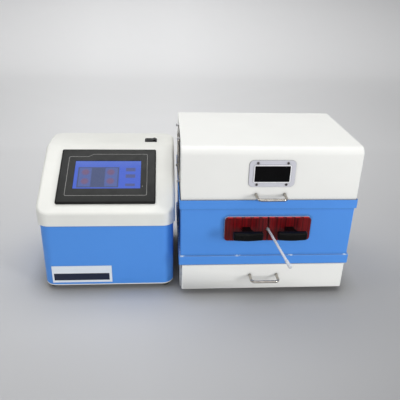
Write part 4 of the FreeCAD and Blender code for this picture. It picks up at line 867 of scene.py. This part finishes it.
# Hood. A folded sheet-steel lid in the white coat, rounded along its front and rear top edges.
# It carries the lamps and the fan, and turns up on the rear hinges.

finished_node("hood_shell", "hood_sheet", white_coat, "hood", SHEET_EDGE)


# Viewing window in the hood's front. A pale grey plate with rounded corners under a raised
# white bezel, with dark filter glass inside it. Four small pan-head screws hold the plate.

WINDOW_SCREW_HEAD = 0.0026
WINDOW_SCREW_HEIGHT = 0.0022


def dark_glass(name):
    """Black filter glass with the faint film that wiping leaves."""
    finish, tree, shader = new_finish(name, linear(5, 5, 6), 0.1, {"Specular IOR Level": 0.12})
    uneven_gloss(tree, shader, noise(tree, 60.0, 4.0), 0.08, 0.2, 0.3, 0.75)
    film = rescale(tree, noise(tree, 35.0), 0.4, 0.7, 0.0, 0.3)
    two_tones(tree, shader, film, linear(4, 4, 5), linear(12, 12, 14))
    return finish


# The plate's paler edge tone on its folds is a painted highlight.
plate_grey = powder_coat("window_plate_grey", linear(206, 206, 214), linear(240, 240, 244),
                         0.00003, 0.4)
bezel_white = moulded("bezel_white", linear(240, 240, 242), 0.3)
finished_node("window_plate", "window_surround", plate_grey, "hood",
              FINE_EDGE)
finished_node("window_bezel", "window_rim", bezel_white, "hood",
              SHEET_EDGE)
finished_node("window_pane", "filter_glass", dark_glass("filter_glass"), "hood")
low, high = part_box("window_screws")
window_screw_sizes = {**screw_sizes, "Head radius": WINDOW_SCREW_HEAD,
                      "Head height": WINDOW_SCREW_HEIGHT,
                      "Shank length": high.y - low.y - WINDOW_SCREW_HEIGHT,
                      "Turn": (math.radians(90), 0.0, 0.0)}
spots = [(x, low.y + WINDOW_SCREW_HEIGHT, z)
         for x in (low.x + WINDOW_SCREW_HEAD, high.x - WINDOW_SCREW_HEAD)
         for z in (low.z + WINDOW_SCREW_HEAD, high.z - WINDOW_SCREW_HEAD)]
screws = grown("window_plate_screws", spots, [], pan_screws, window_screw_sizes, "hood")
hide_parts("window_screws")


# Lamps. Four daylight fluorescent tubes under a folded aluminium reflector, their holders and
# two ballasts, closed below by a clear sheet.

def tube_glass(name):
    """White phosphor behind polished glass."""
    finish, tree, shader = new_finish(name, linear(238, 240, 240), 0.25, {"Coat Weight": 0.8})
    phosphor = rescale(tree, noise(tree, 300.0), 0.3, 0.7)
    two_tones(tree, shader, phosphor, linear(236, 239, 240), linear(246, 247, 246))
    return finish


TUBE_COUNT = 4
TUBE_GLASS = 0.008
TUBE_CAP = 0.0082
TUBE_CAP_LENGTH = 0.012
FOIL_EDGE = 0.0001


def rod_tree(sizes):
    """A round rod of one length and radius at each point, laid along the turned axis."""
    tree, given = new_tree("rods", sizes)
    rod = put(tree, "GeometryNodeMeshCylinder",
              {"Vertices": given["Sides"], "Radius": given["Radius"], "Depth": given["Length"]})
    return copies(tree, given, rod.outputs[0])


aluminium = rolled_metal("reflector_aluminium", linear(214, 215, 217), 0.2, (0.05, 1.0, 1.0))
low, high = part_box("lamp_tubes")
rod_sizes = {"Radius": TUBE_GLASS, "Length": high.x - low.x - 2 * TUBE_CAP_LENGTH,
             "Sides": 32, "Turn": (0.0, math.radians(90), 0.0),
             "Finish": tube_glass("tube_glass")}
rods = rod_tree(rod_sizes)
middle = (low.x + high.x) / 2
level = (low.z + high.z) / 2
first_y = low.y + (high.z - low.z) / 2
pitch = (high.y - low.y - (high.z - low.z)) / (TUBE_COUNT - 1)
rows = [first_y + pitch * i for i in range(TUBE_COUNT)]
glass = grown("tubes", [(middle, y, level) for y in rows], [], rods, rod_sizes, "hood")
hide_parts("lamp_tubes")
cap_sizes = {**rod_sizes, "Radius": TUBE_CAP, "Length": TUBE_CAP_LENGTH,
             "Finish": aluminium}
caps = [(x, y, level) for y in rows
        for x in (low.x + TUBE_CAP_LENGTH / 2, high.x - TUBE_CAP_LENGTH / 2)]
grown("tube_caps", caps, [], rods, cap_sizes, "hood")
finished_node("lamp_holders", "tube_holders", white_plastic, "hood",
              MOULDED_EDGE)
finished_node("lamp_reflector", "reflector", aluminium, "hood",
              FOIL_EDGE)
finished_node("ballasts", "ballast_cans", plain_steel, "hood", SHEET_EDGE)
clear_sheet = clear_plastic("clear_sheet", linear(244, 247, 248), 0.95, 1.49, 50.0, 0.02, 0.1)
finished_node("diffuser_plate", "lamp_cover_sheet", clear_sheet, "hood",
              MOULDED_EDGE)


# Fan in the hood's left wall. A black moulded axial fan inside, with seven pitched blades.
# Outside, a nickelled guard of four wire rings on bent arms, and four screws through it.

GUARD_WIRE = 0.0011
GUARD_RINGS = 4
GUARD_RING_PITCH = 0.012
GUARD_RING_POINTS = 24
GUARD_RING_MORE = 8
GUARD_ARM_PAST = 0.001
GUARD_ARM_SINK = 0.6
GUARD_BEND = 0.003
FAN_HOLE = 0.0525
FAN_SCREW_HEAD = 0.0038
FAN_SCREW_HEIGHT = 0.0022

finished_node("fan_frame", "fan_housing", black_plastic, "hood", SHEET_EDGE)
finished_node("fan_rotor", "fan_wheel", black_plastic, "fan")
low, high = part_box("fan_guard")
fan_y = (low.y + high.y) / 2
fan_z = (low.z + high.z) / 2
ring_x = low.x + GUARD_WIRE
points = []
edges = []
for i in range(GUARD_RINGS):
    radius = GUARD_RING_PITCH * (i + 1)
    steps = GUARD_RING_POINTS + GUARD_RING_MORE * i
    start = len(points)
    points += [(ring_x, fan_y + radius * math.cos(math.tau * j / steps),
                fan_z + radius * math.sin(math.tau * j / steps)) for j in range(steps)]
    edges += [(start + j, start + (j + 1) % steps) for j in range(steps)]
bend = GUARD_RING_PITCH * GUARD_RINGS / math.sqrt(2) + GUARD_ARM_PAST
arm_x = ring_x - GUARD_WIRE * GUARD_ARM_SINK
foot_x = high.x - GUARD_WIRE
for way in (1, -1):
    start = len(points)
    points += [(x, fan_y + off, fan_z + off * way)
               for x, off in ((foot_x, FAN_HOLE), (arm_x, bend), (arm_x, -bend),
                              (foot_x, -FAN_HOLE))]
    edges += [(start + i, start + i + 1) for i in range(3)]
guard_sizes = {**bow_sizes, "Wire radius": GUARD_WIRE, "Bend radius": GUARD_BEND,
               "Bend steps": 4, "Sides": 10, "Foot flare": 1.0}
guard = grown("wire_guard", points, edges, bent_wire, guard_sizes, "hood",
              WIRE_ANGLE)
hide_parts("fan_guard")
low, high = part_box("fan_screws")
fan_screw_sizes = {**screw_sizes, "Head radius": FAN_SCREW_HEAD,
                   "Head height": FAN_SCREW_HEIGHT,
                   "Shank length": high.x - low.x - FAN_SCREW_HEIGHT,
                   "Turn": (0.0, math.radians(-90), 0.0), "Finish": plain_steel}
spots = [(low.x + FAN_SCREW_HEIGHT, fan_y + FAN_HOLE * i, fan_z + FAN_HOLE * j)
         for i in (-1, 1) for j in (-1, 1)]
screws = grown("fan_fixing_screws", spots, [], pan_screws, fan_screw_sizes, "hood")
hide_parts("fan_screws")


# Controller case. A blue steel sleeve with rounded corners stands on a white moulded base and
# is closed at the top by the cover.

cover_white = moulded("cover_white", linear(231, 231, 225), 0.42)
finished_node("controller_base", "controller_floor", cover_white, "stand",
              MOULDED_EDGE)
finished_node("controller_body", "controller_sleeve", blue_coat, "stand",
              MOULDED_EDGE)


# Electronics on the base plate, hidden under the cover: a green board and a boxed supply.
# The mains inlet and the two lead sockets sit in the rear walls.

def board_green(name):
    """Green solder mask with paler lines between its fields."""
    finish, tree, shader = new_finish(name, linear(24, 84, 48), 0.35)
    cells = put(tree, "ShaderNodeTexVoronoi", {"Vector": own_place(tree), "Scale": 260.0},
                feature="DISTANCE_TO_EDGE")
    tracks = rescale(tree, cells.outputs["Distance"], 0.05, 0.1)
    two_tones(tree, shader, tracks, linear(60, 128, 78), linear(20, 76, 42))
    return finish


finished_node("control_board", "board", board_green("board_green"), "stand",
              FINE_EDGE)
finished_node("power_supply", "supply_box", zinc, "stand", MOULDED_EDGE)
finished_node("power_inlet", "mains_inlet_block", black_plastic, "stand",
              MOULDED_EDGE)
for node, name in (("inlet_pins", "mains_inlet_pins"),
                   ("signal_socket", "controller_lead_socket"),
                   ("chamber_socket", "chamber_lead_socket")):
    finished_node(node, name, plain_steel, "stand", FINE_EDGE)


# Rating plate on the controller's front. A white printed sheet with a navy band, left bare,
# glued on at the lower left.

BAND_LEFT = 0.004
BAND_RIGHT = 0.006
BAND_BOTTOM = 0.006
BAND_TOP = 0.025


def plate_print(name):
    """White sheet printed with a plain navy band."""
    finish, tree, shader = new_finish(name, linear(238, 242, 244), 0.4)
    x, _, z = own_axes(tree)
    low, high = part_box("label_plate")
    inside = times(tree, work(tree, "GREATER_THAN", x, low.x + BAND_LEFT),
                   work(tree, "LESS_THAN", x, high.x - BAND_RIGHT),
                   work(tree, "GREATER_THAN", z, low.z + BAND_BOTTOM),
                   work(tree, "LESS_THAN", z, low.z + BAND_TOP))
    two_tones(tree, shader, inside, linear(226, 232, 238), linear(10, 22, 50))
    uneven_gloss(tree, shader, noise(tree, 90.0), 0.34, 0.46)
    return finish


finished_node("label_plate", "rating_plate", plate_print("plate_print"), "stand")


# Controller cover. One white moulded shell with an upright lip, a slope for the touch panel
# and a flat top.

finished_node("controller_cover", "cover_shell", cover_white, "stand")


# Touch panel. A dark grey moulded bezel clamped through the slope, with a thin printed line
# round it, a small lamp at the lower right, and a lit blue display that shows plain shapes.

PANEL_SLOPE = math.radians(28.2)
PANEL_HEIGHT = 0.163
PANEL_PROUD = 0.006
RIM_SHADE_OUTER = 3.0
RIM_SHADE_INNER = 4.2
LINE_POINTS = [(-94.0, -61.0), (92.7, -61.0), (92.7, 64.3), (-37.0, 64.3), (-48.0, 56.5),
               (-94.0, 56.5)]
LINE_RADIUS = 0.0009
LINE_BEND = 0.0035
LINE_SINK = 0.66
PANEL_LAMP = (82.6, -34.6)
PANEL_LAMP_RADIUS = 0.0011
PANEL_LAMP_HEIGHT = 0.0006
DIAGRAM = (-69.5, 26.5, -37.0, 24.0)
DIAGRAM_LEFT = (-66.5, -38.0, -34.0, 21.5)
DIAGRAM_RIGHT = (-6.0, 23.5, -34.0, 21.5)
DISCS = ((-51.7, 8.8), (7.2, 8.7), (-51.9, -18.4), (7.5, -18.2))
DISC_RADIUS = 8.6
KEY_SIDES = (42.5, 65.0)
KEY_LEVELS = ((11.0, 22.0), (-8.7, 1.9), (-33.5, -26.0))

bezel_low, bezel_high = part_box("panel_bezel")
panel_x = (bezel_low.x + bezel_high.x) / 2
panel_y = bezel_high.y - PANEL_HEIGHT / 2 * math.cos(PANEL_SLOPE)
panel_z = bezel_low.z + PANEL_HEIGHT / 2 * math.sin(PANEL_SLOPE)


def on_panel(across, up, out=PANEL_PROUD * 1000):
    """A point in metres from millimetres across, up the slope and out of it, from its middle."""
    run = up * math.cos(PANEL_SLOPE) - out * math.sin(PANEL_SLOPE)
    rise = up * math.sin(PANEL_SLOPE) + out * math.cos(PANEL_SLOPE)
    return (panel_x + across / 1000, panel_y + run / 1000, panel_z + rise / 1000)


def panel_place(tree):
    """The shaded point in millimetres across the panel and up its slope."""
    x, y, z = own_axes(tree)
    across = times(tree, work(tree, "SUBTRACT", x, panel_x), 1000.0)
    run = times(tree, work(tree, "SUBTRACT", y, panel_y), 1000.0 * math.cos(PANEL_SLOPE))
    rise = times(tree, work(tree, "SUBTRACT", z, panel_z), 1000.0 * math.sin(PANEL_SLOPE))
    return across, work(tree, "ADD", run, rise)


def patch(tree, across, up, left, right, low, high, soft=0.9):
    """1 inside an upright rectangle on the panel, 0 outside, with soft borders."""
    return times(tree, rescale(tree, across, left - soft, left + soft),
                 rescale(tree, across, right - soft, right + soft, 1.0, 0.0),
                 rescale(tree, up, low - soft, low + soft),
                 rescale(tree, up, high - soft, high + soft, 1.0, 0.0))


def disc(tree, across, up, middle, level, radius=DISC_RADIUS, soft=2.6):
    """1 inside a circle on the panel, 0 outside, with a soft border."""
    aside = work(tree, "SUBTRACT", across, middle)
    above = work(tree, "SUBTRACT", up, level)
    away = work(tree, "SQRT", work(tree, "ADD", times(tree, aside, aside),
                                   times(tree, above, above)))
    return rescale(tree, away, radius - soft, radius + soft, 1.0, 0.0)


def lit_display(name):
    """A lit screen: blue field, a framed diagram with four dull red discs, and three keys."""
    finish, tree, shader = new_finish(name, linear(14, 18, 34), 0.25,
                                      {"Emission Strength": 0.85, "Specular IOR Level": 0.2})
    across, up = panel_place(tree)
    haze = rescale(tree, work(tree, "ADD", up, times(tree, 14.0, noise(tree, 40.0))),
                   24.0, 52.0, 0.0, 0.35)
    shown = blend_colours(tree, haze, linear(50, 92, 212), linear(104, 134, 208))
    shapes = [(patch(tree, across, up, *DIAGRAM), 0.88, linear(54, 66, 92)),
              (patch(tree, across, up, *DIAGRAM_LEFT), 0.85, linear(74, 96, 168)),
              (patch(tree, across, up, *DIAGRAM_RIGHT), 0.85, linear(74, 96, 168))]
    shapes += [(disc(tree, across, up, *spot), 0.8, linear(116, 74, 108)) for spot in DISCS]
    shapes += [(patch(tree, across, up, *KEY_SIDES, *levels), 0.8, linear(72, 78, 116))
               for levels in KEY_LEVELS]
    for cover, strength, colour in shapes:
        shown = blend_colours(tree, times(tree, cover, strength), shown, colour)
    grain = rescale(tree, noise(tree, 900.0), 0.3, 0.7, 0.9, 1.06)
    feed(tree, shader, "Emission Color", shaded(tree, shown, grain))
    uneven_gloss(tree, shader, noise(tree, 60.0), 0.2, 0.34)
    return finish


def printed_grey(name):
    """Pale grey printing ink, thinner in places."""
    finish, tree, shader = new_finish(name, linear(150, 150, 147), 0.5)
    ink_thinning_and_rim_highlight = rescale(tree, noise(tree, 1200.0), 0.35, 0.7)
    two_tones(tree, shader, ink_thinning_and_rim_highlight, linear(158, 158, 155), linear(112, 112, 110))
    return finish


def bezel_grey(name):
    """The bezel's dark grey, with painted shade that makes it nearly black along its rounded rim.
    """
    finish = moulded(name, linear(33, 34, 33), 0.42, 0.00002, specular=0.18)
    tree, shader, moulded_tone = reopened(finish)
    across, up = panel_place(tree)
    # Painted shade: the band along the bezel's rounded rim is darkened to nearly black.
    sides = [rescale(tree, work(tree, "ABSOLUTE", off), half - RIM_SHADE_INNER, half - RIM_SHADE_OUTER)
             for off, half in ((across, 1000 * (bezel_high.x - bezel_low.x) / 2),
                               (up, 1000 * PANEL_HEIGHT / 2))]
    rim = work(tree, "MAXIMUM", *sides)
    two_tones(tree, shader, rim, moulded_tone, linear(3, 3, 3))
    return finish


panel_grey = bezel_grey("panel_grey")
finished_node("panel_bezel", "panel_frame", panel_grey, "stand", SHEET_EDGE)
finished_node("panel_display", "display_glass", lit_display("lit_display"), "stand")
for node, name in (("panel_case", "panel_back"), ("panel_clamps", "panel_clips")):
    finished_node(node, name, black_plastic, "stand", MOULDED_EDGE)
points = [on_panel(across, up, PANEL_PROUD * 1000 - LINE_SINK) for across, up in LINE_POINTS]
line_sizes = {**bow_sizes, "Wire radius": LINE_RADIUS, "Bend radius": LINE_BEND,
              "Bend steps": 5, "Sides": 10, "Foot flare": 1.0,
              "Finish": printed_grey("printed_line")}
grown("panel_line", points, chain(points, True), bent_wire, line_sizes, "stand")
lamp_sizes = {**rod_sizes, "Radius": PANEL_LAMP_RADIUS, "Length": PANEL_LAMP_HEIGHT,
              "Sides": 20, "Turn": (PANEL_SLOPE, 0.0, 0.0), "Finish": printed_grey("lamp_lens")}
grown("panel_lamp", [on_panel(*PANEL_LAMP)], [], rods, lamp_sizes, "stand")


# Power switch on the flat top. A black moulded rocker in a black frame that snaps into the
# cover from above.

switch_black = moulded("switch_black", linear(6, 6, 6), 0.3, 0.00002, specular=0.15)
finished_node("switch_frame", "switch_surround", switch_black, "stand")
finished_node("power_rocker", "rocker", switch_black, "rocker",
              MOULDED_EDGE)
